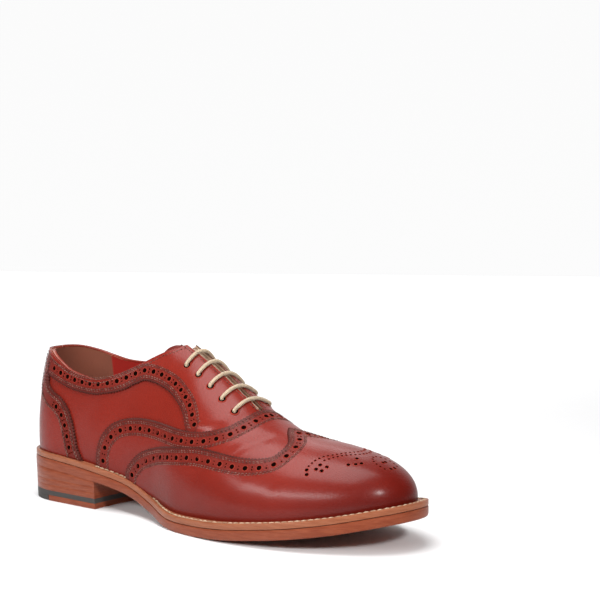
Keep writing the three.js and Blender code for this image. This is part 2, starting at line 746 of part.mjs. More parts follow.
function cord(points, steps) {
  const curve = new THREE.CatmullRomCurve3(points);
  const ring = new THREE.Shape();
  ring.absarc(0, 0, LACE_DIAMETER / 2, 0, 2 * Math.PI, false);
  const options = { steps, extrudePath: curve, bevelEnabled: false, curveSegments: LACE_FACES / 2 };
  return solidOfGeometry(new THREE.ExtrudeGeometry(ring, options));
}

const barHeight = PANEL + GAP + GAP + LACE_DIAMETER / 2 + 0.1;

function laceBar([lateral, medial]) {
  const toRidge = (place, share) => {
    const up = mix(place.up, 1, share);
    return raised(place.turn, up, place.side, barHeight + LACE_ARCH * Math.sin(Math.PI * share / 2));
  };
  const shares = [0, 0.3, 0.65];
  const middle = ridgePoint((lateral.turn + medial.turn) / 2);
  middle.addScaledVector(normal((lateral.turn + medial.turn) / 2, 1, LATERAL), barHeight + LACE_ARCH);
  const climb = shares.map((s) => toRidge(lateral, s));
  const descent = shares.map((s) => toRidge(medial, s)).reverse();
  const points = [...climb, middle, ...descent];
  return cord(points, 8);
}

function makeLace() {
  const places = eyeletPlaces();
  const bars = places.map(laceBar);
  const points = places.map(([place]) => raised(place.turn, 1, LATERAL, SPINE_RISE + LACE_ARCH));
  const spine = cord(points, 2 * (EYELET_ROWS - 1));
  return bars.reduce((all, bar) => all.add(bar), spine);
}

// The finished pieces

function finish(color, roughness) {
  return new THREE.MeshStandardMaterial({ color, roughness, metalness: 0, flatShading: true });
}

const upperLeather = finish(0x8f2a20, 0.35);
const tongueLeather = finish(0xa5443a, 0.4);
const overlayLeather = finish(0x7c221b, 0.38);
const insoleLeather = finish(0x8c5a3c, 0.7);
const weltLeather = finish(0x9c5a3a, 0.55);
const soleLeather = finish(0x8a4a2c, 0.45);
const heelRubber = finish(0x2b2624, 0.7);
const laceCotton = finish(0xb9a283, 0.8);

const shoe = new THREE.Group();
shoe.name = 'brogue_shoe';

// Bodies are thinned to the triangles that their shape needs
const FINENESS = 0.06;

// The main body, without the specks that two nearly touching cuts leave
function mainBody(shape) {
  return shape.decompose().reduce((best, body) => (body.volume() > best.volume() ? body : best));
}

function place(name, shape, material) {
  const { numProp, vertProperties, triVerts } = mainBody(mainBody(shape).simplify(FINENESS)).getMesh();
  const geometry = new THREE.BufferGeometry();
  const position = new Float32Array(vertProperties.length / numProp * 3);
  for (let i = 0; i < position.length / 3; i += 1) {
    position.set(vertProperties.subarray(i * numProp, i * numProp + 3), 3 * i);
  }
  geometry.setAttribute('position', new THREE.BufferAttribute(position, 3));
  geometry.setIndex(new THREE.BufferAttribute(triVerts, 1));
  geometry.computeVertexNormals();
  const mesh = new THREE.Mesh(geometry, material);
  mesh.name = name;
  shoe.add(mesh);
}

place('upper', makeUpper(), upperLeather);
place('wing_cap', makeWingCap(), overlayLeather);
place('facing_lateral', makeFacing(LATERAL), overlayLeather);
place('facing_medial', makeFacing(MEDIAL), overlayLeather);
place('heel_counter', makeCounter(), overlayLeather);
place('tongue', makeTongue(), tongueLeather);
place('insole', makeInsole(), insoleLeather);
place('welt', makeWelt(), weltLeather);
place('outsole', makeOutsole(), soleLeather);
for (let i = 0; i < LIFT_COUNT; i += 1) {
  place(`heel_lift_${i + 1}`, heelLayer(liftBase + i * LIFT, liftBase + (i + 1) * LIFT), soleLeather);
}
place(`heel_lift_${LIFT_COUNT + 1}`, heelLayer(liftBase + LIFT_COUNT * LIFT), soleLeather);
place('heel_rubber_layer', heelLayer(TOP_PIECE, liftBase), heelRubber);
place('heel_top_piece', topPiece.intersect(pieceHalf), soleLeather);
place('heel_rubber_tip', topPiece.intersect(tipHalf), heelRubber);
place('lace', makeLace(), laceCotton);

export default shoe;
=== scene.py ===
import math

import bmesh
import bpy
import numpy as np
from bpy.props import FloatProperty, FloatVectorProperty, IntProperty, PointerProperty
from mathutils import Matrix, Vector


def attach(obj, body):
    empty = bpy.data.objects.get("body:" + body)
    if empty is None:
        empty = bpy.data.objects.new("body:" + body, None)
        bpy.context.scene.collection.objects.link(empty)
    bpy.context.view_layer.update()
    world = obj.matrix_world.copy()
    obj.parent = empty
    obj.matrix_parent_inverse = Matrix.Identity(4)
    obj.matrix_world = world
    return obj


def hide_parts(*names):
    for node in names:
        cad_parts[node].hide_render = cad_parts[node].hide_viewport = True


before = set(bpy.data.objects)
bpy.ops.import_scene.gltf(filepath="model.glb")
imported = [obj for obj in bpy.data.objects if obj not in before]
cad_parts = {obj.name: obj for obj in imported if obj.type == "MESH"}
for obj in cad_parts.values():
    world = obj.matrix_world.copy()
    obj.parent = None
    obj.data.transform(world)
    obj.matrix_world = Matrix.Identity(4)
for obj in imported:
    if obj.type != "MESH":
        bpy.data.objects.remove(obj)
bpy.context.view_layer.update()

bl_info = {
    "name": "Brogue shoe",
    "version": (1, 0, 0),
    "blender": (4, 5, 0),
    "location": "View3D > Sidebar > Shoe",
    "description": "Builds a right brogue shoe with its leather, stitching, lace and stage",
    "category": "Object",
}

MM = 0.001
LATERAL = -1
MEDIAL = 1
SIDES = (LATERAL, MEDIAL)
STEP = 0.001

# Sections of the last from heel to toe. at: share of the length. lateral, medial, swing: half
# widths and centre line in ball widths. seat: in heel rises. spring: in toe springs. crest: height
# over the feather line in instep heights. out, up, top: swell of the side, its height, flat top.
SECTION_COLUMNS = ("at", "lateral", "medial", "swing", "seat", "spring", "crest", "out", "up", "top")
SECTIONS = (
    (0.00, 0.326, 0.321, 0.000, 1.000, 0.000, 1.300, 0.11, 0.42, 0.500),
    (0.08, 0.319, 0.319, 0.000, 0.990, 0.000, 1.305, 0.11, 0.42, 0.550),
    (0.16, 0.320, 0.320, 0.000, 0.920, 0.000, 1.310, 0.11, 0.42, 0.600),
    (0.25, 0.326, 0.316, 0.000, 0.800, 0.000, 1.260, 0.11, 0.42, 0.580),
    (0.34, 0.300, 0.295, 0.000, 0.570, 0.000, 1.080, 0.13, 0.42, 0.545),
    (0.43, 0.333, 0.283, 0.000, 0.215, 0.000, 1.005, 0.15, 0.45, 0.515),
    (0.52, 0.407, 0.342, -0.016, 0.000, 0.000, 0.910, 0.15, 0.48, 0.495),
    (0.60, 0.427, 0.442, -0.033, 0.000, 0.000, 0.755, 0.13, 0.50, 0.495),
    (0.68, 0.444, 0.520, -0.033, 0.000, 0.080, 0.592, 0.11, 0.52, 0.495),
    (0.76, 0.434, 0.539, -0.016, 0.000, 0.235, 0.464, 0.09, 0.54, 0.515),
    (0.84, 0.412, 0.497, 0.016, 0.000, 0.425, 0.392, 0.07, 0.56, 0.535),
    (0.92, 0.373, 0.437, 0.038, 0.000, 0.675, 0.303, 0.06, 0.58, 0.555),
    (1.00, 0.337, 0.385, 0.054, 0.000, 1.000, 0.165, 0.06, 0.60, 0.575),
)

# Topline seen from the side: share of the length, then heights in back heights
COLLAR = (
    (0.00, 1.000, 1.000), (0.03, 1.000, 1.000), (0.06, 0.998, 0.972), (0.10, 0.950, 0.935), (0.14,
     0.893, 0.912),
    (0.19, 0.858, 0.906), (0.245, 0.841, 0.914), (0.30, 0.891, 0.939), (0.35, 0.959, 0.985),
    (0.40, 1.035, 1.040), (0.43, 1.071, 1.071), (0.46, 1.140, 1.140),
)

# Edges of the panels as (turn, up). turn: 0 at the back of the heel to 1 at the toe.
# up: 0 at the feather line to 1 at the ridge.
WING_EDGE = (
    (0.396, 0.000), (0.398, 0.040), (0.408, 0.094), (0.429, 0.169), (0.467, 0.250), (0.517, 0.325),
    (0.554, 0.381), (0.592, 0.425), (0.637, 0.481), (0.665, 0.550), (0.675, 0.650), (0.672, 0.800),
    (0.654, 0.930), (0.646, 1.000),
)
VAMP_EDGE = (
    (0.333, 0.000), (0.334, 0.050), (0.339, 0.106), (0.354, 0.175), (0.381, 0.250), (0.408, 0.300),
    (0.442, 0.344), (0.475, 0.375), (0.508, 0.406), (0.537, 0.450), (0.558, 0.506), (0.579, 0.600),
    (0.591, 0.720), (0.596, 0.840), (0.597, 1.000),
)
FACING_EDGE = (
    (0.120, 0.335), (0.150, 0.325), (0.200, 0.306), (0.242, 0.288), (0.283, 0.281), (0.321, 0.290),
    (0.350, 0.325), (0.375, 0.381), (0.400, 0.463), (0.421, 0.519), (0.442, 0.541), (0.467, 0.550),
    (0.492, 0.531), (0.510, 0.488), (0.517, 0.452), (0.526, 0.425),
)
COUNTER_EDGE = (
    (0.296, 0.000), (0.284, 0.038), (0.276, 0.094), (0.267, 0.150), (0.251, 0.200), (0.229, 0.231),
    (0.200, 0.250), (0.177, 0.272), (0.168, 0.310), (0.171, 0.360), (0.175, 0.500),
)
TONGUE_EDGE = (
    (0.447, 1.000), (0.444, 0.940), (0.437, 0.870), (0.428, 0.780), (0.424, 0.700), (0.428, 0.630),
    (0.440, 0.615), (0.465, 0.640), (0.500, 0.680), (0.550, 0.720), (0.600, 0.800), (0.620, 0.880),
)

# The toe medallion, alike on both halves: rows of small holes as lines in the chart, and dots
MEDALLION_ROWS = (
    ((0.740, 0.541), (0.747, 0.633), (0.761, 0.703), (0.783, 0.753), (0.810, 0.800), (0.854, 0.838),
     (0.925, 0.863), (1.000, 0.870)),
    ((0.765, 0.641), (0.784, 0.699), (0.820, 0.761), (0.898, 0.795), (1.000, 0.812)),
    ((0.985, 0.720), (0.955, 0.675), (0.946, 0.615), (0.950, 0.550), (0.960, 0.495)),
)
MEDALLION_DOTS = (
    (0.744, 0.444), (0.740, 0.494), (0.757, 0.514), (0.770, 0.498), (0.778, 0.552), (0.761, 0.571),
    (0.835, 0.595), (0.860, 0.602), (0.883, 0.614), (0.874, 0.707), (0.991, 0.602), (0.989, 0.483),
)


# Sizes that the sidebar shows


class ShoeSizes(bpy.types.PropertyGroup):
    """Sizes of the shoe."""

    last_length: FloatProperty(name="Last length", description="Heel to toe of the last",
        default=0.287, unit="LENGTH")
    ball_width: FloatProperty(name="Ball width", description="Unit of the section widths",
        default=0.092, unit="LENGTH")
    instep_height: FloatProperty(name="Instep", description="Unit of the section heights",
        default=0.092, unit="LENGTH")
    heel_rise: FloatProperty(name="Heel rise", description="Heel seat over the ball", default=0.022,
        unit="LENGTH")
    toe_spring: FloatProperty(name="Toe spring", description="Lift of the toe", default=0.016,
        unit="LENGTH")
    heel_back: FloatProperty(name="Heel back", description="Back of the last, along X",
        default=-0.0369, unit="LENGTH")
    heel_round: FloatProperty(name="Heel round", description="Length of the round heel",
        default=0.033, unit="LENGTH")
    toe_round: FloatProperty(name="Toe round", description="Length of the round toe", default=0.060,
        unit="LENGTH")
    back_height: FloatProperty(name="Back height", description="Topline at the back", default=0.0985,
        unit="LENGTH")
    throat: FloatProperty(name="Throat", description="Foot of the slit, share of the length",
        default=0.6512)
    slit_mouth: FloatProperty(name="Slit mouth", description="Top of the slit, share of the length",
        default=0.4213)
    first_eyelet: FloatProperty(name="First eyelet", description="Share of the length", default=0.4666)
    wall: FloatProperty(name="Wall", description="Upper with its lining", default=0.0022, unit="LENGTH")
    panel: FloatProperty(name="Panel", description="Thickness of an overlay", default=0.0013,
        unit="LENGTH")
    gap: FloatProperty(name="Gap", description="Between pieces that meet", default=0.0003,
        unit="LENGTH")


class BottomSizes(bpy.types.PropertyGroup):
    """Sizes of the welt, outsole and heel."""

    welt: FloatProperty(name="Welt", description="Thickness", default=0.0036, unit="LENGTH")
    outsole: FloatProperty(name="Outsole", description="Thickness", default=0.0063, unit="LENGTH")
    reveal_heel: FloatProperty(name="Heel reveal", description="Past the upper at the heel",
        default=0.0040, unit="LENGTH")
    reveal_waist: FloatProperty(name="Waist reveal", description="Past the upper at the waist",
        default=0.004, unit="LENGTH")
    reveal_toe: FloatProperty(name="Forepart reveal", description="Past the upper in front",
        default=0.0093, unit="LENGTH")
    breast: FloatProperty(name="Breast", description="Front of the heel, along X", default=0.035,
        unit="LENGTH")
    top_piece: FloatProperty(name="Top piece", description="Layer on the floor", default=0.0036,
        unit="LENGTH")
    rubber: FloatProperty(name="Rubber", description="Rubber layer above it", default=0.0032,
        unit="LENGTH")
    lift: FloatProperty(name="Lift", description="Each leather lift", default=0.0038, unit="LENGTH")
    tip_split: FloatProperty(name="Tip split", description="Front of the rubber tip, along X",
        default=-0.010, unit="LENGTH")
    welt_thread: FloatProperty(name="Welt thread", description="Thickness", default=0.0009,
        unit="LENGTH")
    welt_stitch: FloatProperty(name="Welt stitch", description="Pitch of the welt stitches",
        default=0.0040, unit="LENGTH")


class DetailSizes(bpy.types.PropertyGroup):
    """Sizes of the holes, stitches, lacing and teeth."""

    tooth: FloatProperty(name="Tooth", description="Pitch of the pinked edge", default=0.0021,
        unit="LENGTH")
    bite: FloatProperty(name="Bite", description="Depth of the pinked edge", default=0.0010,
        unit="LENGTH")
    stitch: FloatProperty(name="Stitch", description="Pitch of the seams", default=0.0023,
        unit="LENGTH")
    thread: FloatProperty(name="Thread", description="Thickness of the thread", default=0.00052,
        unit="LENGTH")
    hole: FloatProperty(name="Hole", description="Width of the large holes", default=0.0031,
        unit="LENGTH")
    small_hole: FloatProperty(name="Small hole", description="Width of the small holes",
        default=0.0012, unit="LENGTH")
    hole_pitch: FloatProperty(name="Hole pitch", description="On wing and vamp", default=0.0088,
        unit="LENGTH")
    narrow_pitch: FloatProperty(name="Narrow pitch", description="On facings and counter",
        default=0.0072, unit="LENGTH")
    hole_row: FloatProperty(name="Hole row", description="Row of holes inside the edge",
        default=0.0058, unit="LENGTH")
    medallion_hole: FloatProperty(name="Medallion hole", description="Small holes", default=0.0014,
        unit="LENGTH")
    medallion_dot: FloatProperty(name="Medallion dot", description="Large holes", default=0.0022,
        unit="LENGTH")
    medallion_pitch: FloatProperty(name="Medallion pitch", description="Small holes", default=0.0027,
        unit="LENGTH")
    eyelet: FloatProperty(name="Eyelet", description="Width of the lace holes", default=0.0044,
        unit="LENGTH")
    eyelet_rows: IntProperty(name="Eyelet rows", description="Pairs of lace holes", default=5)
    eyelet_pitch: FloatProperty(name="Eyelet pitch", description="Between lace holes", default=0.011,
        unit="LENGTH")
    lace: FloatProperty(name="Lace", description="Thickness of the lace", default=0.0024, unit="LENGTH")


class StageSizes(bpy.types.PropertyGroup):
    """Camera angles, distance, target and lens."""

    azimuth: FloatProperty(name="Azimuth", description="Camera's turn round the shoe",
        default=math.radians(39.06), subtype="ANGLE")
    elevation: FloatProperty(name="Elevation", description="Camera's tilt",
        default=math.radians(3.56), subtype="ANGLE")
    roll: FloatProperty(name="Roll", description="Camera's roll", default=math.radians(0.52),
        subtype="ANGLE")
    aim_up: FloatProperty(name="Aim", description="Small tilt under the aim",
        default=math.radians(-0.222), subtype="ANGLE")
    distance: FloatProperty(name="Distance", description="Camera to target", default=1.0372,
        unit="LENGTH")
    target: FloatVectorProperty(name="Target", description="Point the camera looks at",
        default=(0.110, 0.0814, 0.137), subtype="TRANSLATION")
    lens: FloatProperty(name="Lens", description="Focal length in mm on a 36 mm sensor", default=94.06)


def colour_of(title, use, start):
    """A colour that the panel shows, in linear light."""
    return FloatVectorProperty(name=title, description=use, default=start, subtype="COLOR", min=0.0,
        max=1.0)


class ShoeColours(bpy.types.PropertyGroup):
    """Colours of the leathers, threads and cord."""

    calf: colour_of("Calf", "Polished upper leather", (0.190, 0.0135, 0.0068))
    calf_deep: colour_of("Calf burnish", "Upper leather at the toe, heel and low down",
        (0.088, 0.0045, 0.0026))
    calf_band: colour_of("Calf band", "Upper leather along the punched bands", (0.120, 0.0125, 0.0085))
    suede: colour_of("Suede lining", "Lining at the heel", (0.250, 0.070, 0.036))
    red_lining: colour_of("Red lining", "Lining in front of the suede", (0.330, 0.016, 0.010))
    sole: colour_of("Sole edge", "Light layers of the sole and heel", (0.270, 0.072, 0.033))
    sole_deep: colour_of("Sole burnish", "Dark layers of the sole and heel", (0.150, 0.026, 0.010))
    welt: colour_of("Welt", "Light streaks of the welt", (0.330, 0.122, 0.062))
    welt_deep: colour_of("Welt burnish", "Dark streaks of the welt", (0.200, 0.055, 0.024))
    seam: colour_of("Seam thread", "Fine thread of the upper", (0.225, 0.105, 0.082))
    seam_deep: colour_of("Seam shade", "Dark strands of the fine thread", (0.070, 0.026, 0.020))
    welt_thread: colour_of("Welt thread", "Thick thread of the welt", (0.560, 0.420, 0.290))
    lace: colour_of("Lace", "Light strands of the lace", (0.600, 0.465, 0.315))
    # the lace's shade colour is painted shade in the dips between the braid's strands
    lace_groove_shade: colour_of("Lace shade", "Dark strands of the lace", (0.270, 0.190, 0.115))


def sizes():
    return bpy.context.scene.shoe_sizes


def colours():
    return bpy.context.scene.shoe_colours


def bottom():
    return bpy.context.scene.bottom_sizes


def detail():
    return bpy.context.scene.detail_sizes


# Small maths


def ease(value, start, end):
    """0 below start, 1 above end: 3t^2 - 2t^3 between."""
    t = np.clip((np.asarray(value, float) - start) / (end - start), 0, 1)
    return t * t * (3 - 2 * t)


def soft_ramp(value, softness):
    """k ln(1 + e^(x/k)): a ramp with a soft corner."""
    return softness * np.log1p(np.exp(np.asarray(value, float) / softness))


def unit(vectors):
    return vectors / np.maximum(np.linalg.norm(vectors, axis=-1, keepdims=True), 1e-12)


def mix(a, b, share):
    return a + (b - a) * share


class SmoothColumn:
    """Cubic Hermite curve through one column of a table, straight beyond its ends."""

    def __init__(self, at, values):
        self.at = np.asarray(at, float)
        self.values = np.asarray(values, float)
        self.slopes = np.gradient(self.values, self.at)

    def __call__(self, at):
        at = np.asarray(at, float)
        inside = np.clip(at, self.at[0], self.at[-1])
        k = np.clip(np.searchsorted(self.at, inside, side="right") - 1, 0, len(self.at) - 2)
        run = self.at[k + 1] - self.at[k]
        t = (inside - self.at[k]) / run
        a, b = self.values[k], self.values[k + 1]
        m, n = self.slopes[k] * run, self.slopes[k + 1] * run
        curve = (2 * t**3 - 3 * t**2 + 1) * a + (t**3 - 2 * t**2 + t) * m
        curve = curve + (3 * t**2 - 2 * t**3) * b + (t**3 - t**2) * n
        slope = np.where(at < inside, self.slopes[0], self.slopes[-1])
        return curve + slope * (at - inside)


class Last:
    """The surface that the upper is pulled over, by turn, up and side."""

    def __init__(self):
        rows = np.array(SECTIONS)
        self.column = {}
        for k, name in enumerate(SECTION_COLUMNS[1:], start=1):
            self.column[name] = SmoothColumn(rows[:, 0], rows[:, k])
        collar = np.array(COLLAR)
        self.collar = {LATERAL: SmoothColumn(collar[:, 0], collar[:, 1])}
        self.collar[MEDIAL] = SmoothColumn(collar[:, 0], collar[:, 2])
        self.stack = bottom().welt + sizes().gap + bottom().outsole

    def at(self, turn):
        return 0.5 - 0.5 * np.cos(np.pi * np.asarray(turn, float))

    def turn_of_x(self, x):
        return np.arccos(1 - 2 * self.share(x)) / np.pi

    def share(self, x):
        return (np.asarray(x, float) - sizes().heel_back) / sizes().last_length

    def centre(self, at):
        return self.column["swing"](at) * sizes().ball_width

    def bed(self, at):
        """Height of the feather line: stack + seat x heel rise + spring x toe spring."""
        heel = self.column["seat"](at) * sizes().heel_rise
        return self.stack + heel + self.column["spring"](at) * sizes().toe_spring

    def crest(self, at):
        return self.bed(at) + self.column["crest"](at) * sizes().instep_height

    def ends(self, at):
        """Superellipse closing at heel and toe: (1 - h^2.1)^(1/2.1) (1 - t^2.15)^(1/2.15)."""
        x = at * sizes().last_length
        heel = np.clip(1 - x / sizes().heel_round, 0, 1)
        toe = np.clip(1 - (sizes().last_length - x) / sizes().toe_round, 0, 1)
        return (1 - heel**2.1) ** (1 / 2.1) * (1 - toe**2.15) ** (1 / 2.15)

    def foot(self, turn, side):
        """Feather line: centre + side x half width x ends."""
        at = self.at(turn)
        half = np.where(side < 0, self.column["lateral"](at), self.column["medial"](at))
        y = self.centre(at) + side * half * sizes().ball_width * self.ends(at)
        return np.stack([sizes().heel_back + at * sizes().last_length, y, self.bed(at)], axis=-1)

    def ridge_at(self, turn):
        """Share along the ridge, held back softly at both ends."""
        at = self.at(turn)
        return at - soft_ramp(at - 0.86, 0.03) + soft_ramp(0.14 - at, 0.03)

    def skin(self, turn, up, side):
        """Cubic from foot to ridge: spread = b0 + b1 (1 + out) + b2 top, height = b1 up + b2 + b3."""
        turn, up, side = fold(turn, up, side)
        at = self.at(turn)
        foot = self.foot(turn, side)
        share = self.ridge_at(turn)
        ridge_x = sizes().heel_back + share * sizes().last_length
        ridge_y = self.centre(share) * 0 + self.centre(at)
        ridge_z = self.crest(share)
        v = np.maximum(up, 0)
        b0, b1, b2, b3 = (1 - v) ** 3, 3 * v * (1 - v) ** 2, 3 * v * v * (1 - v), v**3
        top = self.column["top"](at)
        spread = b0 + b1 * (1 + self.column["out"](at)) + b2 * top
        slope = (self.crest(share + STEP) - self.crest(share)) / (STEP * sizes().last_length)
        reach_x, reach_y = foot[..., 0] - ridge_x, foot[..., 1] - ridge_y
        z = foot[..., 2] + (ridge_z - foot[..., 2]) * (b1 * self.column["up"](at) + b2 + b3)
        z = z + b2 * slope * reach_x * top
        return np.stack([ridge_x + reach_x * spread, ridge_y + reach_y * spread, z], axis=-1)

    def side_normal(self, turn, up, side):
        """Cross product of the two surface slopes, taken just inside the ends of the chart."""
        turn = np.clip(turn, 0.015, 0.985)
        up = np.clip(up, STEP, 0.985)
        along = self.skin(turn + STEP, up, side) - self.skin(turn - STEP, up, side)
        over = self.skin(turn, up + STEP, side) - self.skin(turn, up - STEP, side)
        return unit(np.cross(along, over) * -np.asarray(side, float)[..., None])

    def normal(self, turn, up, side):
        """Own normal, blending into the other side's over the ridge, heel and toe lines."""
        turn, up, side = fold(turn, up, side)
        near_ridge = np.clip((up - 0.985) / 0.015, 0, 1)
        near_end = np.clip((np.abs(turn - 0.5) - 0.485) / 0.015, 0, 1)
        share = 0.5 * np.maximum(near_ridge, near_end)[..., None]
        own = self.side_normal(turn, up, side)
        other = self.side_normal(turn, up, -side)
        return unit(own * (1 - share) + other * share)

    def raised(self, turn, up, side, height):
        turn, up = np.broadcast_arrays(np.asarray(turn, float), np.asarray(up, float))
        side = np.broadcast_to(np.asarray(side, float), turn.shape)
        lift = np.broadcast_to(np.asarray(height, float), turn.shape)[..., None]
        return self.skin(turn, up, side) + self.normal(turn, up, side) * lift


def fold(turn, up, side):
    """A point past the ridge, heel or toe comes back down the other side."""
    turn, up, side = np.broadcast_arrays(np.asarray(turn, float), np.asarray(up, float),
        np.asarray(side, float))
    over = up > 1
    past = (turn < 0) | (turn > 1)
    turn = np.where(turn < 0, -turn, np.where(turn > 1, 2 - turn, turn))
    return turn, np.where(over, 2 - up, up), np.where(over ^ past, -side, side)


class ChartLine:
    """A smooth line in the chart through given (turn, up) points."""

    def __init__(self, points):
        points = np.array(points)
        steps = np.hypot(*np.diff(points, axis=0).T)
        along = np.concatenate([[0], np.cumsum(steps)])
        along = along / along[-1]
        self.turn = SmoothColumn(along, points[:, 0])
        self.up = SmoothColumn(along, points[:, 1])

    def __call__(self, share):
        return self.turn(share), self.up(share)

    def turn_at_up(self, up):
        """Turn where the line passes a height, for lines that only climb."""
        share = np.linspace(0, 1, 400)
        return np.interp(up, self.up(share), self.turn(share))


def path_lengths(points):
    steps = np.linalg.norm(np.diff(points, axis=0), axis=1)
    return np.concatenate([[0], np.cumsum(steps)])


def even_line(last, line, side, pitch, low=0.0, high=1.0):
    """Chart points evenly spaced along a line on the surface, with their distances."""
    share = np.linspace(low, high, 600)
    turn, up = line(share)
    length = path_lengths(last.skin(turn, up, np.full(share.shape, float(side))))
    count = max(int(round(length[-1] / pitch)), 2)
    wanted = np.linspace(0, length[-1], count + 1)
    even = np.interp(wanted, length, share)
    turn, up = line(even)
    return turn, up, wanted


def slopes_at(last, turn, up, side):
    """Surface slopes along turn and up."""
    along = (last.skin(turn + STEP, up, side) - last.skin(turn - STEP, up, side)) / (2 * STEP)
    low = np.maximum(up - STEP, 0)
    over = (last.skin(turn, up + STEP, side) - last.skin(turn, low, side)) / (up + STEP - low)[...,
        None]
    return along, over


def across_line(last, turn, up, side):
    """Unit vectors in the surface at right angles to a line, toeward for a line that climbs."""
    sides = np.full(turn.shape, float(side))
    points = last.skin(turn, up, sides)
    tangent = unit(np.gradient(points, axis=0))
    return unit(np.cross(last.normal(turn, up, sides), tangent)) * side


def shifted(last, turn, up, side, distance, steps=6):
    """Chart points moved sideways in the surface, by small steps of least squares."""
    sides = np.full(turn.shape, float(side))
    wanted = across_line(last, turn, up, side) * (distance / steps)
    for _ in range(steps):
        along, over = slopes_at(last, turn, up, sides)
        aa, ab, bb = (along * along).sum(-1), (along * over).sum(-1), (over * over).sum(-1)
        pa, pb = (along * wanted).sum(-1), (over * wanted).sum(-1)
        det = np.maximum(aa * bb - ab * ab, 1e-12)
        turn = np.clip(turn + (pa * bb - pb * ab) / det, 0.004, 0.996)
        up = np.clip(up + (pb * aa - pa * ab) / det, 0.0, 1.02)
    return turn, up


# Topline and slit in the chart


def search_up(test, turn, low=0.05, high=1.0):
    """Highest up at which test(up) stays true, by halving."""
    low = np.full(turn.shape, low)
    high = np.full(turn.shape, high)
    for _ in range(30):
        middle = (low + high) / 2
        good = test(middle)
        low = np.where(good, middle, low)
        high = np.where(good, high, middle)
    return (low + high) / 2


def slit_half(last, x):
    """Half width of the slit: 3.5 mm at the mouth to 2 mm, closing round at the throat."""
    throat = sizes().heel_back + sizes().throat * sizes().last_length
    mouth = sizes().heel_back + sizes().slit_mouth * sizes().last_length
    width = mix(3.5 * MM, 2.0 * MM, np.clip((x - mouth) / (throat - mouth), 0, 1))
    left = np.clip((throat - x) / (4 * MM), 0, 1)
    return width * np.sqrt(1 - (1 - left) ** 2)


class Topline:
    """Upper limit of the quarters in the chart: the collar, then the slit."""

    def __init__(self, last):
        self.turns = np.linspace(0, 0.64, 900)
        self.tops = {side: self.limit(last, side) for side in SIDES}

    def limit(self, last, side):
        """The lower of the collar and the slit's edge, found by halving at each turn."""
        turn = self.turns
        sides = np.full(turn.shape, float(side))

        def below_collar(up):
            p = last.skin(turn, up, sides)
            return p[:, 2] < last.collar[side](last.share(p[:, 0])) * sizes().back_height

        def outside_slit(up):
            p = last.skin(turn, up, sides)
            away = side * (p[:, 1] - last.centre(last.share(p[:, 0])))
            return away > slit_half(last, p[:, 0])

        collar = search_up(below_collar, turn)
        slit = search_up(outside_slit, turn, low=0.5)
        throat = sizes().heel_back + sizes().throat * sizes().last_length
        slit = np.where(last.skin(turn, slit, sides)[:, 0] > throat, 1.0, slit)
        return np.minimum(collar, slit)

    def __call__(self, turn, side):
        return np.interp(turn, self.turns, self.tops[side])


# Soft creases of wear, each a trough (depth over 0) or a ridge across a panel, listed:
# side, from (turn, up) to (turn, up), depth and width in millimetres
CREASES = (
    (LATERAL, (0.645, 0.800), (0.600, 0.430), 0.95, 3.6),
    (LATERAL, (0.672, 0.600), (0.560, 0.340), -0.30, 6.0),
    (LATERAL, (0.560, 0.300), (0.530, 0.080), 0.40, 6.0),
    (LATERAL, (0.480, 0.330), (0.440, 0.100), 0.45, 7.0),
    (LATERAL, (0.692, 0.420), (0.675, 0.080), 0.35, 4.5),
    (LATERAL, (0.655, 0.380), (0.635, 0.080), -0.22, 5.0),
    (MEDIAL, (0.640, 0.780), (0.580, 0.400), 0.60, 4.5),
    (MEDIAL, (0.560, 0.330), (0.520, 0.080), 0.40, 6.0),
    (LATERAL, (0.330, 0.260), (0.290, 0.080), 0.35, 7.0),
)


def relief(last, turn, up, side):
    """Sum of -depth exp(-(distance / width)^2) over the creases, faded at their ends."""
    points = last.skin(turn, up, side)
    total = np.zeros(points.shape[:-1])
    for crease_side, start, end, depth, width in CREASES:
        a = last.skin(*start, crease_side)
        b = last.skin(*end, crease_side)
        run = b - a
        share = np.clip(((points - a) @ run) / (run @ run), -0.3, 1.3)
        near = a + share[..., None] * run
        away = np.linalg.norm(points - near, axis=-1)
        fade = ease(share, -0.3, 0.25) * (1 - ease(share, 0.75, 1.3))
        total = total - depth * MM * fade * np.exp(-((away / (width * MM)) ** 2))
    return total


# Meshes


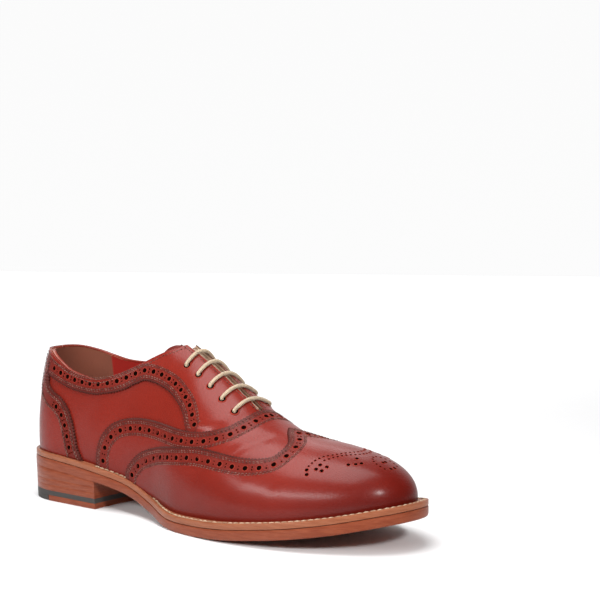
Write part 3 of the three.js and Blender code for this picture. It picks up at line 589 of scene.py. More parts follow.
class Parts:
    """Gathers points, faces and point marks, then makes one mesh object of them."""

    def __init__(self):
        self.points, self.faces, self.marks, self.count = [], [], [], 0

    def add(self, points, faces, mark=0.0, along=0.0):
        points = np.asarray(points, float).reshape(-1, 3)
        self.points.append(points)
        self.faces.extend([[i + self.count for i in face] for face in faces])
        marks = np.empty((len(points), 2))
        marks[:, 0] = np.asarray(mark, float).ravel() if np.ndim(mark) else mark
        marks[:, 1] = np.asarray(along, float).ravel() if np.ndim(along) else along
        self.marks.append(marks)
        self.count += len(points)

    def grid(self, points, flip=False, closed=False, mark=0.0, along=0.0):
        """Quads over an (n, m) grid of points; closed joins the last column to the first."""
        n, m = points.shape[:2]
        wide = m if closed else m - 1
        i, j = np.meshgrid(np.arange(n - 1), np.arange(wide), indexing="ij")
        i, j = i.ravel(), j.ravel()
        k = (j + 1) % m
        quads = np.stack([i * m + j, (i + 1) * m + j, (i + 1) * m + k, i * m + k], axis=1)
        if flip:
            quads = quads[:, ::-1]
        if np.ndim(mark) == 1:
            mark = np.broadcast_to(np.asarray(mark)[None, :], (n, m))
        self.add(points, quads.tolist(), mark, along)

    def build(self, name, material, node_slot, replaced=(), weld=0.0, sharp=40):
        mesh = bpy.data.meshes.new(name)
        mesh.from_pydata(np.concatenate(self.points).tolist(), [], self.faces)
        marks = np.concatenate(self.marks)
        for k, label in enumerate(("mark", "along")):
            layer = mesh.attributes.new(label, "FLOAT", "POINT")
            layer.data.foreach_set("value", marks[:, k].astype(np.float32))
        if weld:
            work = bmesh.new()
            work.from_mesh(mesh)
            bmesh.ops.remove_doubles(work, verts=work.verts, dist=weld)
            bmesh.ops.dissolve_degenerate(work, edges=work.edges, dist=1e-7)
            work.to_mesh(mesh)
            work.free()
        mesh.shade_smooth()
        mesh.set_sharp_from_angle(angle=math.radians(sharp))
        mesh.materials.append(material)
        piece = bpy.data.objects.new(name, mesh)
        bpy.context.scene.collection.objects.link(piece)
        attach(piece, "root")
        if replaced:
            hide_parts(*replaced)
        return piece


def pinking(distance, pitch, depth):
    """Triangle wave between 0 and -depth, sampled on its peaks and valleys."""
    phase = (distance / pitch) % 1.0
    return -depth * np.abs(2 * phase - 1)


def edge_distance(points, edge):
    """Distance of every grid point from the nearest point of the edge, in blocks of rows."""
    blocks = []
    for rows in np.array_split(points, max(len(points) // 40, 1)):
        gaps = np.linalg.norm(rows[:, :, None] - edge[None, None, ::2], axis=-1)
        blocks.append(gaps.min(axis=2))
    return np.concatenate(blocks)


def inner_shares(count, first, power=1.35):
    """Column shares from 0 to 1 with a narrow first column."""
    return np.concatenate([[0.0], mix(first, 1.0, np.linspace(0, 1, count) ** power)])


def lay_panel(parts, last, turn, up, side, height, base, inward, bite=0.0, distance=None, bare=None):
    """A panel's face with a rounded, pinked first column and a rim down to the base height.

    turn, up, height: (n, m) grids, first column on the edge. inward: +1 where the panel lies
    toeward of its edge, -1 where heelward. bare: how many rows of the edge are uncovered.
    """
    sides = np.full(turn.shape, float(side))
    height = np.broadcast_to(height, turn.shape) + relief(last, turn, up, sides)
    face = last.raised(turn, up, sides, height)
    across = across_line(last, turn[:, 0], up[:, 0], side) * inward
    if distance is None:
        tooth = np.zeros(len(turn))
    else:
        tooth = pinking(distance, detail().tooth, bite)
    round_off = 0.3 * MM
    shoulder = last.raised(turn[:, 0], up[:, 0], side, height[:, 0] - round_off) + across * tooth[:,
        None]
    foot = last.raised(turn[:, 0], up[:, 0], side, base) + across * tooth[:, None]
    crown = last.raised(turn[:, 0], up[:, 0], side, height[:, 0]) + across * (tooth + round_off)[:,
        None]
    points = np.concatenate([foot[:, None], shoulder[:, None], crown[:, None], face[:, 1:]], axis=1)
    away = edge_distance(face[:, 1:], face[:bare, 0])
    mark = np.concatenate([np.zeros((len(turn), 3)), away], axis=1)
    parts.grid(points, flip=(side * inward < 0), mark=mark)


# Panels of the upper


def climbing_panel(parts, last, edge, side, height, base, far, count, pitch_share=0.25):
    """A panel of rows at a constant up, from an edge that climbs to a far turn."""
    turn, up, distance = even_line(last, edge, side, detail().tooth * pitch_share)
    up = np.clip(up, 0, 1)
    shares = inner_shares(count, 0.012)[None, :]
    far_turn = far(up)[:, None]
    turns = mix(turn[:, None], far_turn, shares)
    ups = np.broadcast_to(up[:, None], turns.shape)
    lay_panel(parts, last, turns, ups, side, height, base, 1, detail().bite, distance)


def build_wing(last, material):
    edge = ChartLine(WING_EDGE)
    parts = Parts()
    height = 2 * sizes().panel + sizes().gap
    for side in SIDES:
        climbing_panel(parts, last, edge, side, height, sizes().panel, lambda up: np.ones(up.shape), 64)
    return parts.build("wing_cap_leather", material, "overlay_leather", ["wing_cap"], weld=2e-5)


def build_vamp(last, material):
    edge = ChartLine(VAMP_EDGE)
    wing = ChartLine(WING_EDGE)
    parts = Parts()
    for side in SIDES:
        climbing_panel(parts, last, edge, side, sizes().panel, 0.0,
            lambda up: wing.turn_at_up(up) + 0.03, 30)
    return parts.build("vamp_leather", material, "upper_leather", ["upper"], weld=2e-5)


def build_quarters(last, topline, material):
    """Outer face of the quarters, from the feather line to the topline, ending under the vamp."""
    parts = Parts()
    turn = np.linspace(0, 0.64, 300)
    share = np.linspace(0, 1, 70)
    for side in SIDES:
        top = topline(turn, side)
        ups = top[:, None] * share[None, :]
        turns = np.broadcast_to(turn[:, None], ups.shape)
        sides = np.full(ups.shape, float(side))
        points = last.raised(turns, ups, sides, relief(last, turns, ups, sides))
        parts.grid(points, flip=(side < 0), mark=20 * MM)
    return parts.build("quarter_leather", material, "upper_leather", ["upper"], weld=2e-5)


def build_lining(last, topline, material):
    """Inner face of the upper, 2.2 mm in from the quarters."""
    parts = Parts()
    turn = np.linspace(0, 1, 240)
    share = np.linspace(0, 1, 40)
    for side in SIDES:
        top = np.where(turn < 0.64, topline(np.minimum(turn, 0.64), side), 1.0)
        ups = top[:, None] * share[None, :]
        turns = np.broadcast_to(turn[:, None], ups.shape)
        points = last.raised(turns, ups, side, -sizes().wall)
        parts.grid(points, flip=(side > 0))
    return parts.build("lining_leather", material, "upper_leather", ["upper"], weld=2e-5)


# Where each place on the facing's lower edge meets the topline
FACING_PAIRS = (
    (0.120, 0.120), (0.200, 0.200), (0.300, 0.305), (0.350, 0.365), (0.400, 0.415), (0.442, 0.445),
    (0.492, 0.490), (0.526, 0.530), (0.558, 0.556), (0.579, 0.574), (0.598, 0.5935),
)


def facing_line():
    """The facing's whole lower border: its own edge, then the vamp's edge to the throat."""
    border = list(FACING_EDGE) + [(t + 0.004, u) for t, u in VAMP_EDGE if u > 0.44]
    return ChartLine(border[:-1] + [(0.599, 0.985)])


def build_facing(last, topline, side, name, material):
    """Eyelet panel and collar band of one side, from its lower edge up to the topline."""
    line = facing_line()
    turn, up, distance = even_line(last, line, side, detail().tooth * 0.25)
    pairs = np.array(FACING_PAIRS)
    top_turn = np.interp(turn, pairs[:, 0], pairs[:, 1])
    top_up = topline(top_turn, side)
    shares = inner_shares(34, 0.02, 1.1)[None, :]
    turns = mix(turn[:, None], top_turn[:, None], shares)
    ups = mix(up[:, None], top_up[:, None], shares)
    ups = np.minimum(ups, topline(turns, side))
    to_vamp = (ChartLine(VAMP_EDGE).turn_at_up(ups) - turns) * 0.45
    full = sizes().panel + sizes().gap
    height = mix(0.5 * MM, full, ease(to_vamp, -2 * MM, 8 * MM))
    parts = Parts()
    bare = int(np.argmin(np.abs(turn - FACING_EDGE[-2][0])))
    lay_panel(parts, last, turns, ups, side, height, 0.0, -1, detail().bite, distance, bare)
    return parts.build(name, material, "overlay_leather",
        ["facing_" + ("lateral" if side < 0 else "medial")])


# Share of the topline's height where the strap goes under the rolled edge
STRAP_END = 0.975


def counter_rows(last, topline, side):
    """The counter's front edge up to the topline, with its share of the height at each place."""
    edge = ChartLine(COUNTER_EDGE)
    share = np.linspace(0, 1, 800)
    turn, up = edge(share)
    inside = share[up / topline(turn, side) < 1.0]
    return edge, inside[-1]


def build_counter(last, topline, material):
    parts = Parts()
    for side in SIDES:
        edge, end = counter_rows(last, topline, side)
        turn, up, distance = even_line(last, edge, side, detail().tooth * 0.25, 0.0, end)
        part_of_top = np.clip(up / topline(turn, side), 0, STRAP_END)
        part_of_top[-1] = STRAP_END
        shares = inner_shares(40, 0.02, 1.1)[None, :]
        turns = mix(turn[:, None], 0.0, shares)
        ups = part_of_top[:, None] * topline(turns, side)
        full = sizes().panel + 0.35 * MM
        height = mix(full, 0.4 * MM, ease(ups / topline(turns, side), 0.90, 0.97))
        lay_panel(parts, last, turns, ups, side, height, 0.0, -1, detail().bite, distance)
    return parts.build("counter_leather", material, "overlay_leather", ["heel_counter"], weld=2e-5)


def build_topline(last, topline, material):
    """Rounded edge of the collar and slit: height mean + r cos a, rise sin a."""
    parts = Parts()
    turn = np.linspace(0.0, 0.5935, 420)
    angle = np.linspace(0, math.pi, 9)
    middle = (sizes().panel + sizes().gap - sizes().wall) / 2
    half = (sizes().panel + sizes().gap + sizes().wall) / 2 + 0.1 * MM
    for side in SIDES:
        top = topline(turn, side)
        sides = np.full(turn.shape, float(side))
        edge = last.skin(turn, top, sides)
        tangent = unit(np.gradient(edge, axis=0))
        normal = last.normal(turn, top, sides)
        rise = unit(np.cross(tangent, normal)) * -side
        centre = edge + normal * middle
        points = centre[:, None] + normal[:, None] * (half * np.cos(angle))[None, :, None]
        points = points + rise[:, None] * (0.9 * MM * np.sin(angle) - 0.25 * MM)[None, :, None]
        along = np.broadcast_to(turn[:, None], points.shape[:2])
        parts.grid(points, flip=(side < 0), mark=np.linspace(0, 1, 9), along=along)
    return parts.build("topline_edge", material, "upper_leather", [], weld=2e-5)


def tongue_height(turn):
    """Under the lining, sunk under the lacing and leaning in at its tip."""
    lacing = 2.4 * MM * ease(turn, 0.45, 0.49) * (1 - ease(turn, 0.56, 0.60))
    return -(sizes().wall + sizes().gap) - lacing - 2.5 * MM * (1 - ease(turn, 0.42, 0.47))


def build_tongue(last, material):
    """Both halves of the tongue with its rounded rim, from its tip to under the vamp."""
    line = ChartLine(TONGUE_EDGE)
    parts = Parts()
    thickness = 2.0 * MM
    for side in SIDES:
        turn, up, _ = even_line(last, line, side, 1.0 * MM)
        corner = TONGUE_EDGE[0][0] + np.linspace(0, 0.01, len(turn))
        ridge_turn = np.maximum(turn, corner)
        shares = np.linspace(0, 1, 22)[None, :]
        turns = mix(turn[:, None], ridge_turn[:, None], shares)
        ups = mix(up[:, None], 1.0, shares)
        outer = last.raised(turns, ups, side, tongue_height(turns))
        inner = last.raised(turns, ups, side, tongue_height(turns) - thickness)
        rim_up = last.raised(turns[:, 0], ups[:, 0], side, tongue_height(turns[:, 0]) - thickness / 2)
        out = unit(rim_up - last.raised(turns[:, 1], ups[:, 1], side,
            tongue_height(turns[:, 1]) - thickness / 2))
        rim = rim_up + out * 0.7 * MM
        points = np.concatenate([inner[:, ::-1], rim[:, None], outer], axis=1)
        parts.grid(points, flip=(side < 0), mark=10 * MM)
    return parts.build("tongue_leather", material, "tongue_leather", ["tongue"], weld=2e-5, sharp=70)


# Holes and seams


def frames_on(last, turn, up, side, height):
    """Points on the surface with their tangent, cross and normal directions."""
    sides = np.full(turn.shape, float(side))
    points = last.raised(turn, up, sides, height + relief(last, turn, up, sides))
    tangent = unit(np.gradient(points, axis=0)) if len(turn) > 1 else np.array([[1.0, 0.0, 0.0]])
    normal = last.normal(turn, up, sides)
    cross = unit(np.cross(normal, tangent))
    tangent = unit(np.cross(cross, normal))
    return points, tangent, cross, normal


def ring_faces(rings, faces):
    """Quads between neighbouring rings of points."""
    k, i = np.meshgrid(np.arange(rings - 1), np.arange(faces), indexing="ij")
    k, i = k.ravel() * faces, i.ravel()
    j = (i + 1) % faces
    return np.stack([k + i, k + faces + i, k + faces + j, k + j], axis=1)


# A punched hole of width 1, drawn as a disc on the leather: radius, height over the leather, darkness,
# which is painted shade for the hole's well
HOLE_RINGS = ((0.00, 0.006, 1.0), (0.43, 0.008, 1.0), (0.46, 0.050, 0.7), (0.53, 0.075, 0.0),
    (0.66, 0.00, 0.0))

# A stitch of length 1 and width 1: place along it, radius, height
STITCH_RINGS = ((-0.50, 0.15, -0.30), (-0.38, 0.44, 0.05), (0.00, 0.50, 0.25), (0.38, 0.44, 0.05),
    (0.50, 0.15, -0.30))


def hole_template(faces=12):
    """Rings round the Z axis: (r cos a, r sin a, h), marked with the painted shade of each ring."""
    radius, height, dark = np.array(HOLE_RINGS).T[:, :, None]
    angle = np.linspace(0, 2 * math.pi, faces, endpoint=False)[None, :]
    points = np.stack([radius * np.cos(angle), radius * np.sin(angle), height + 0 * angle], axis=-1)
    return points.reshape(-1, 3), ring_faces(len(HOLE_RINGS), faces), (dark + 0 * angle).ravel()


def stitch_template(faces=6):
    """Rings round the X axis: (x, r cos a, h + r sin a)."""
    along, radius, height = np.array(STITCH_RINGS).T[:, :, None]
    angle = np.linspace(0, 2 * math.pi, faces, endpoint=False)[None, :]
    points = np.stack([along + 0 * angle, radius * np.cos(angle), height + radius * np.sin(angle)],
        axis=-1)
    return points.reshape(-1, 3), ring_faces(len(STITCH_RINGS), faces)[:,
        ::-1], np.zeros(points.shape[0] * faces)


def stamp(parts, template, frames, length, width):
    """Copies a template onto surface frames: p + x length tangent + width (y cross + z normal)."""
    shape, faces, marks = template
    places, tangent, cross, normal = (np.asarray(part)[:, None] for part in frames)
    if places.shape[0] == 0:
        return
    points = places + shape[None, :, :1] * length * tangent
    points = points + width * (shape[None, :, 1:2] * cross + shape[None, :, 2:] * normal)
    copies = np.arange(len(places))[:, None, None] * len(shape)
    quads = (faces[None] + copies).reshape(-1, 4)
    parts.add(points, quads.tolist(), np.tile(marks, len(places)))


def seam(parts, last, turn, up, side, height, length):
    stamp(parts, stitch_template(), frames_on(last, turn, up, side, height), length, detail().thread)


class ShiftedLine:
    """A chart line moved sideways by a distance in the surface."""

    def __init__(self, last, line, side, distance, low=0.0, high=1.0):
        share = np.linspace(low, high, 240)
        turn, up = line(share)
        turn, up = shifted(last, turn, up, side, distance)
        self.share = np.linspace(0, 1, len(share))
        self.turns, self.ups = turn, up

    def __call__(self, share):
        return np.interp(share, self.share, self.turns), np.interp(share, self.share, self.ups)


# Seams and rows of holes on the panels: panel edge, inward sign, height, first and last share
BAND_SEAMS = (1.5, 2.5, 8.9, 9.9)


def dress_band(stitches, holes, last, line, side, inward, height, span, pitch, hole_end=1.0):
    """Double seams on both sides of a row of large holes with pairs of small ones between."""
    for k, offset in enumerate(BAND_SEAMS):
        moved = ShiftedLine(last, line, side, inward * offset * MM, *span)
        turn, up, _ = even_line(last, moved, side, detail().stitch / 2)
        turn, up = turn[k % 2 :: 2], up[k % 2 :: 2]
        keep = (up > 0.004) & (up < 1.0)
        seam(stitches, last, turn[keep], up[keep], side, height + 0.02 * MM, 0.66 * detail().stitch)
    reach = (span[0], mix(span[0], span[1], hole_end))
    moved = ShiftedLine(last, line, side, inward * detail().hole_row, *reach)
    row_of_holes(holes, last, moved, side, height, pitch)


def row_of_holes(holes, last, line, side, height, pitch):
    turn, up, _ = even_line(last, line, side, pitch / 4)
    points, tangent, cross, normal = frames_on(last, turn, up, side, height)
    keep = (up > 0.01) & (up <= 1.0)
    order = np.arange(len(turn))
    large = keep & (order % 4 == 2)
    small = keep & (order % 4 == 0) & (order > 0)
    stamp(holes, hole_template(12), (points[large], tangent[large], cross[large], normal[large]),
        *both(detail().hole))
    for way in (-1, 1):
        places = points[small] + cross[small] * way * 0.95 * MM
        frames = (places, tangent[small], cross[small], normal[small])
        stamp(holes, hole_template(8), frames, *both(detail().small_hole))


def both(width):
    """Length and width alike."""
    return width, width


def share_at_turn(line, turn):
    """Share of a line at which it passes a turn."""
    share = np.linspace(0, 1, 400)
    return float(share[np.argmin(np.abs(line.turn(share) - turn))])


def build_brogueing(last, topline, hole_material, thread_material):
    """Bands of holes and seams on every panel edge, the medallion and the top seams."""
    stitches, holes = Parts(), Parts()
    wing_height = 2 * sizes().panel + sizes().gap
    facing_height = sizes().panel + sizes().gap
    counter_height = sizes().panel + 0.7 * MM
    wide, narrow = detail().hole_pitch, detail().narrow_pitch
    facing_start = share_at_turn(ChartLine(FACING_EDGE), 0.178)
    for side in SIDES:
        _, end = counter_rows(last, topline, side)
        dress_band(stitches, holes, last, ChartLine(WING_EDGE), side, 1, wing_height, (0, 1), wide)
        dress_band(stitches, holes, last, ChartLine(VAMP_EDGE), side, 1, sizes().panel, (0, 1), wide)
        dress_band(stitches, holes, last, ChartLine(FACING_EDGE), side, -1, facing_height,
            (facing_start, 0.985), narrow)
        dress_band(stitches, holes, last, ChartLine(COUNTER_EDGE), side, -1, counter_height,
            (0, end * 0.97), narrow, 0.62)
    place_medallion(holes, last, wing_height)
    top_seams(stitches, last, topline, facing_height)
    stitches.build("seam_stitches", thread_material, "lace_cotton", sharp=80)
    return holes.build("brogue_holes", hole_material, "overlay_leather", sharp=60)


def place_medallion(holes, last, height):
    """Rows of small holes at an even pitch, and single larger dots."""
    for side in SIDES:
        for row in MEDALLION_ROWS:
            turn, up, _ = even_line(last, ChartLine(row), side, detail().medallion_pitch)
            stamp(holes, hole_template(8), frames_on(last, turn, up, side, height),
                *both(detail().medallion_hole))
        for dot in MEDALLION_DOTS:
            turn, up = np.array([dot]).T
            stamp(holes, hole_template(10), frames_on(last, turn, up, side, height),
                *both(detail().medallion_dot))


def top_seams(stitches, last, topline, height):
    """A row of stitches 2 mm under the collar and beside the slit."""
    for side in SIDES:
        turn = np.linspace(0.0, 0.592, 900)
        up = topline(turn, side)
        line = ShiftedPoints(last, turn, up, side, 2.0 * MM)
        t, u, _ = even_line(last, line, side, detail().stitch)
        seam(stitches, last, t, u, side, height + 0.02 * MM, 0.82 * detail().stitch)


class ShiftedPoints:
    """A chart line given by points, moved sideways in the surface."""

    def __init__(self, last, turn, up, side, distance):
        self.share = np.linspace(0, 1, len(turn))
        self.turns, self.ups = shifted(last, turn, up, side, distance)

    def __call__(self, share):
        return np.interp(share, self.share, self.turns), np.interp(share, self.share, self.ups)


# Lacing


def eyelet_place(last, row, side):
    """Chart place of an eyelet from its plan position beside the ridge."""
    rows = detail().eyelet_rows - 1
    x = sizes().heel_back + sizes().first_eyelet * sizes().last_length + row * detail().eyelet_pitch
    reach = mix(12 * MM, 15 * MM, row / rows)
    turn = float(last.turn_of_x(x))
    up = 0.8
    for _ in range(6):
        low, high = 0.4, 1.0
        for _ in range(22):
            up = (low + high) / 2
            point = last.skin(turn, up, side)
            if side * (point[1] - last.centre(last.share(x))) > reach:
                low = up
            else:
                high = up
        turn += float(last.turn_of_x(x) - last.turn_of_x(last.skin(turn, up, side)[0]))
    return turn, up


def lace_route(last):
    """Points of the lace with a half thickness for each: straight bars above, steps below."""
    face = sizes().panel + sizes().gap
    under = -(sizes().wall + 1.0 * MM)
    radius = detail().lace / 2
    places = [[eyelet_place(last, row, side) for side in SIDES] for row in range(detail().eyelet_rows)]
    route = []

    def put(turn, up, side, height, thick=1.0):
        route.append((*np.asarray(last.raised(turn, up, side, height), float), radius * thick))

    def down_through(place, side, way):
        heights = [face + radius * 1.15, face * 0.5, under]
        for height in heights if way > 0 else heights[::-1]:
            put(*place, side, height, 0.92)

    for row, (lateral, medial) in enumerate(places):
        down_through(lateral, LATERAL, -1)
        for share in (0.3, 0.6, 0.85):
            put(lateral[0], mix(lateral[1], 1.0, share), LATERAL, face + radius * (1.1 - 0.2 * share))
        put((lateral[0] + medial[0]) / 2, 1.0, LATERAL, face + radius * 0.8, 1.04)
        for share in (0.85, 0.6, 0.3):
            put(medial[0], mix(medial[1], 1.0, share), MEDIAL, face + radius * (1.1 - 0.2 * share))
        down_through(medial, MEDIAL, 1)
        if row + 1 < len(places):
            following = places[row + 1][0]
            for share in (0.25, 0.5, 0.75):
                turn = mix(medial[0], following[0], share)
                away = mix(medial[1], 2 - following[1], share)
                put(turn, min(away, 2 - away), MEDIAL if away < 1 else LATERAL, under - 0.4 * MM, 1.0)
    return np.array(route)


def smooth_path(points, spacing):
    """Catmull-Rom curve through the points, resampled evenly."""
    padded = np.concatenate([2 * points[:1] - points[1:2], points, 2 * points[-1:] - points[-2:-1]])
    t = np.linspace(0, 1, 16, endpoint=False)[:, None]
    pieces = []
    for k in range(1, len(padded) - 2):
        a, b, c, d = padded[k - 1], padded[k], padded[k + 1], padded[k + 2]
        square = (2 * a - 5 * b + 4 * c - d) * t**2
        cube = (3 * b - a - 3 * c + d) * t**3
        pieces.append(0.5 * (2 * b + (c - a) * t + square + cube))
    curve = np.concatenate(pieces + [points[-1:]])
    length = path_lengths(curve[:, :3])
    even = np.linspace(0, length[-1], int(length[-1] / spacing) + 2)
    return np.stack([np.interp(even, length, curve[:, k]) for k in range(curve.shape[1])], axis=1), even


def tube(parts, path, radii, faces, along):
    """Rings round a path, turned as little as possible from one to the next."""
    tangent = unit(np.gradient(path, axis=0))
    side = unit(np.cross(tangent[0], [0.3, 0.2, 1.0]))
    angle = np.linspace(0, 2 * math.pi, faces, endpoint=False)
    rings = []
    for p, t, r in zip(path, tangent, radii):
        side = unit(side - t * (side @ t))
        other = np.cross(t, side)
        rings.append(p + r * (np.cos(angle)[:, None] * side + np.sin(angle)[:, None] * other))
    rings = np.array(rings)
    mark = np.broadcast_to(np.linspace(0, 1, faces, endpoint=False)[None, :], rings.shape[:2])
    parts.grid(rings, closed=True, mark=mark, along=np.broadcast_to(along[:, None], rings.shape[:2]))


def build_lace(last, material):
    route, length = smooth_path(lace_route(last), 0.45 * MM)
    parts = Parts()
    tube(parts, route[:, :3], route[:, 3], 14, length)
    return parts.build("lace_braid", material, "lace_cotton", ["lace"], sharp=80)


def build_eyelets(last, material):
    parts = Parts()
    face = sizes().panel + sizes().gap
    # lace holes are discs whose nearly black centre is painted shade, showing round the lace
    template = hole_template(16)
    for row in range(detail().eyelet_rows):
        for side in SIDES:
            turn, up = eyelet_place(last, row, side)
            frames = frames_on(last, np.array([turn]), np.array([up]), side, face)
            stamp(parts, template, frames, *both(detail().eyelet))
    return parts.build("lace_holes", material, "overlay_leather", sharp=60)


# Bottom


def reveal(at):
    """How far welt and outsole stand past the feather line."""
    back = mix(bottom().reveal_heel, bottom().reveal_waist, ease(at, 0.15, 0.35))
    return mix(back, bottom().reveal_toe, ease(at, 0.36, 0.62))


def rim(last, turn, side, outwards):
    """Plan line beside the feather line."""
    sides = np.full(turn.shape, float(side))
    ahead = last.foot(*pick_foot(turn + STEP, sides))
    behind = last.foot(*pick_foot(turn - STEP, sides))
    run = unit((ahead - behind)[:, :2])
    foot = last.foot(turn, sides)
    x = foot[:, 0] - side * run[:, 1] * outwards
    y = foot[:, 1] + side * run[:, 0] * outwards
    return np.stack([x, y], axis=1)


def pick_foot(turn, side):
    turn, _, side = fold(turn, np.zeros(turn.shape), side)
    return turn, side


def loop(last, outwards, height, count=170):
    """Closed rim: the outer side from heel to toe, then the inner side back."""
    turn = np.linspace(0, 1, count)
    at = last.at(turn)
    outer = rim(last, turn, LATERAL, outwards(at))
    inner = rim(last, turn, MEDIAL, outwards(at))
    plan = np.concatenate([outer, inner[::-1][1:-1]])
    return np.concatenate([plan, height(last, plan[:, 0])[:, None]], axis=1)


def under_bed(drop):
    """Height that follows the bed, so much lower and never under the floor."""
    return lambda last, x: np.maximum(last.bed(last.share(x)) - drop, 0)


def skirt(parts, loops, mark=0.0):
    """Quads between loops, given from the top inner one outwards and down."""
    parts.grid(np.array(loops), closed=True, flip=False, mark=mark)


def ruled_cap(parts, ring, flip):
    """Strips across a loop from side to side."""
    half = len(ring) // 2 + 1
    outer = ring[:half]
    inner = np.concatenate([ring[:1], ring[half:][::-1], ring[half - 1 : half]])
    parts.grid(np.stack([outer, inner], axis=1), flip=flip)


def shelf(extra):
    return lambda at: reveal(at) + extra


def inset(amount):
    return lambda at: np.full(np.shape(at), -amount)


def build_welt(last, material):
    """Ring with a stitch groove 2.3 mm in from its rounded edge."""
    welt = bottom().welt
    rows = (
        (inset(3.0 * MM), welt), (inset(3.0 * MM), 0.0), (shelf(-3.3 * MM), 0.0), (shelf(-2.75 * MM),
         0.35 * MM),
        (shelf(-2.0 * MM), 0.35 * MM), (shelf(-1.5 * MM), 0.0), (shelf(-0.5 * MM), 0.05 * MM),
        (shelf(-0.12 * MM), 0.25 * MM), (shelf(0.0), 0.7 * MM), (shelf(0.0), welt - 0.5 * MM),
        (shelf(-0.2 * MM), welt),
    )
    loops = []
    for outwards, drop in rows:
        loops.append(loop(last, clamp_shelf(outwards), under_bed(drop)))
    parts = Parts()
    skirt(parts, loops)
    return parts.build("welt_leather", material, "welt_leather", ["welt"], sharp=50)


def clamp_shelf(outwards):
    """Where the welt is narrow its inner rows stay outside the feather line's inset."""
    return lambda at: np.maximum(outwards(at), -3.0 * MM)


def build_welt_stitches(last, material):
    """Lockstitch in the groove, from one side of the waist round the toe to the other."""
    parts = Parts()
    outer = loop(last, shelf(-2.37 * MM), under_bed(0.12 * MM), 400)
    start = np.argmin(np.abs(outer[:400, 0] - 0.036))
    finish = len(outer) - start
    path = outer[start:finish]
    length = path_lengths(path)
    even = np.arange(0, length[-1], bottom().welt_stitch)
    points = np.stack([np.interp(even, length, path[:, k]) for k in range(3)], axis=1)
    tangent = unit(np.gradient(points, axis=0))
    up = np.broadcast_to([0.0, 0.0, 1.0], points.shape)
    cross = unit(np.cross(up, tangent))
    normal = np.cross(tangent, cross)
    tilted = unit(tangent + 0.16 * cross)
    frames = (points, tilted, unit(np.cross(normal, tilted)), normal)
    stamp(parts, stitch_template(), frames, 0.86 * bottom().welt_stitch, bottom().welt_thread)
    return parts.build("welt_stitches", material, "lace_cotton", sharp=80)


def bevelled(amount):
    """An edge that leans in by the amount, except over the heel, where it stays flush."""
    return lambda at: reveal(at) - amount * ease(at, 0.235, 0.27)


def build_outsole(last, material):
    stack = last.stack
    top = bottom().welt + sizes().gap
    low = 0.9 * MM
    rows = (
        (shelf(-0.6 * MM), top), (shelf(-0.1 * MM), top + 0.2 * MM), (shelf(0.05 * MM), top + 0.7 * MM),
        (shelf(0.12 * MM), top + 2.4 * MM), (shelf(0.05 * MM), stack - 1.6 * MM), (bevelled(0.2 * MM),
         stack - low),
        (bevelled(0.6 * MM), stack - 0.3 * MM), (bevelled(1.2 * MM), stack),
    )
    loops = [loop(last, outwards, under_bed(drop)) for outwards, drop in rows]
    parts = Parts()
    skirt(parts, loops)
    ruled_cap(parts, loops[0], flip=True)
    ruled_cap(parts, loops[-1], flip=False)
    return parts.build("outsole_leather", material, "sole_leather", ["outsole"], sharp=50)


def build_insole(last, material):
    inner = inset(3.4 * MM)
    rows = ((inset(3.9 * MM), -0.8 * MM), (inner, -0.4 * MM), (inner, bottom().welt))
    loops = [loop(last, outwards, under_bed(drop)) for outwards, drop in rows]
    parts = Parts()
    skirt(parts, loops)
    ruled_cap(parts, loops[0], flip=True)
    ruled_cap(parts, loops[-1], flip=False)
    return parts.build("insole_leather", material, "insole_leather", ["insole"])


def heel_ring(last, outwards, low_x, high_x, height):
    """Closed plan loop of a heel layer between two X limits, with the hollow breast in front."""
    turn = np.linspace(0, float(last.turn_of_x(bottom().breast + 8 * MM)), 260)
    at = last.at(turn)
    rings = {}
    for side in SIDES:
        line = rim(last, turn, side, outwards(at))
        rings[side] = line[(line[:, 0] < high_x) & (line[:, 0] > low_x)]
    ends = [rings[side][-1] for side in SIDES]
    share = np.linspace(-1, 1, 21)[1:-1]
    front_y = mix(ends[0][1], ends[1][1], (share + 1) / 2)
    hollow = 2.5 * MM if high_x == bottom().breast else 0.0
    front = np.stack([high_x - hollow * (1 - share**2), front_y], axis=1)
    corner = [[high_x, ends[0][1]]], [[high_x, ends[1][1]]]
    inner_ring = rings[MEDIAL][::-1][: None if low_x > -0.03 else -1]
    plan = np.concatenate([rings[LATERAL], corner[0], front, corner[1], inner_ring])
    return np.concatenate([plan, height(last, plan[:, 0])[:, None]], axis=1)


def level(height):
    return lambda last, x: np.full(np.shape(x), height)


def heel_layer(last, name, material, slot_name, node, low, high=None, low_x=-1.0, high_x=None):
    """One lift with slightly rounded edges, standing on the one below."""
    high_x = bottom().breast if high_x is None else high_x
    heel_top = float(last.bed(0.0)) - last.stack

    def outwards(z, extra):
        return lambda at: reveal(at) - 0.1 * MM - 1.0 * MM * (1 - z / heel_top) + extra

    top = high if high is not None else heel_top
    upper = level(top) if high is not None else under_bed(last.stack + 0.02 * MM)
    drop = level(top - 0.1 * MM) if high is not None else under_bed(last.stack + 0.1 * MM)
    rows = ((outwards(top, -0.05 * MM), upper), (outwards(top, 0.0), drop),
            (outwards(low, 0.0), level(low + 0.1 * MM)), (outwards(low, -0.05 * MM), level(low)))
    loops = [heel_ring(last, o, low_x, high_x, h) for o, h in rows]
    size = min(len(ring) for ring in loops)
    loops = [even_loop(ring, size) for ring in loops]
    parts = Parts()
    skirt(parts, loops)
    parts.add(loops[0], [list(range(size))[::-1]])
    parts.add(loops[-1], [list(range(size))])
    return parts.build(name, material, slot_name, [node], weld=1e-6)


def even_loop(ring, size):
    """The same number of points in every loop, by share of the way round."""
    closed = np.concatenate([ring, ring[:1]])
    share = np.linspace(0, 1, len(closed))
    wanted = np.linspace(0, 1, size, endpoint=False)
    return np.stack([np.interp(wanted, share, closed[:, k]) for k in range(3)], axis=1)


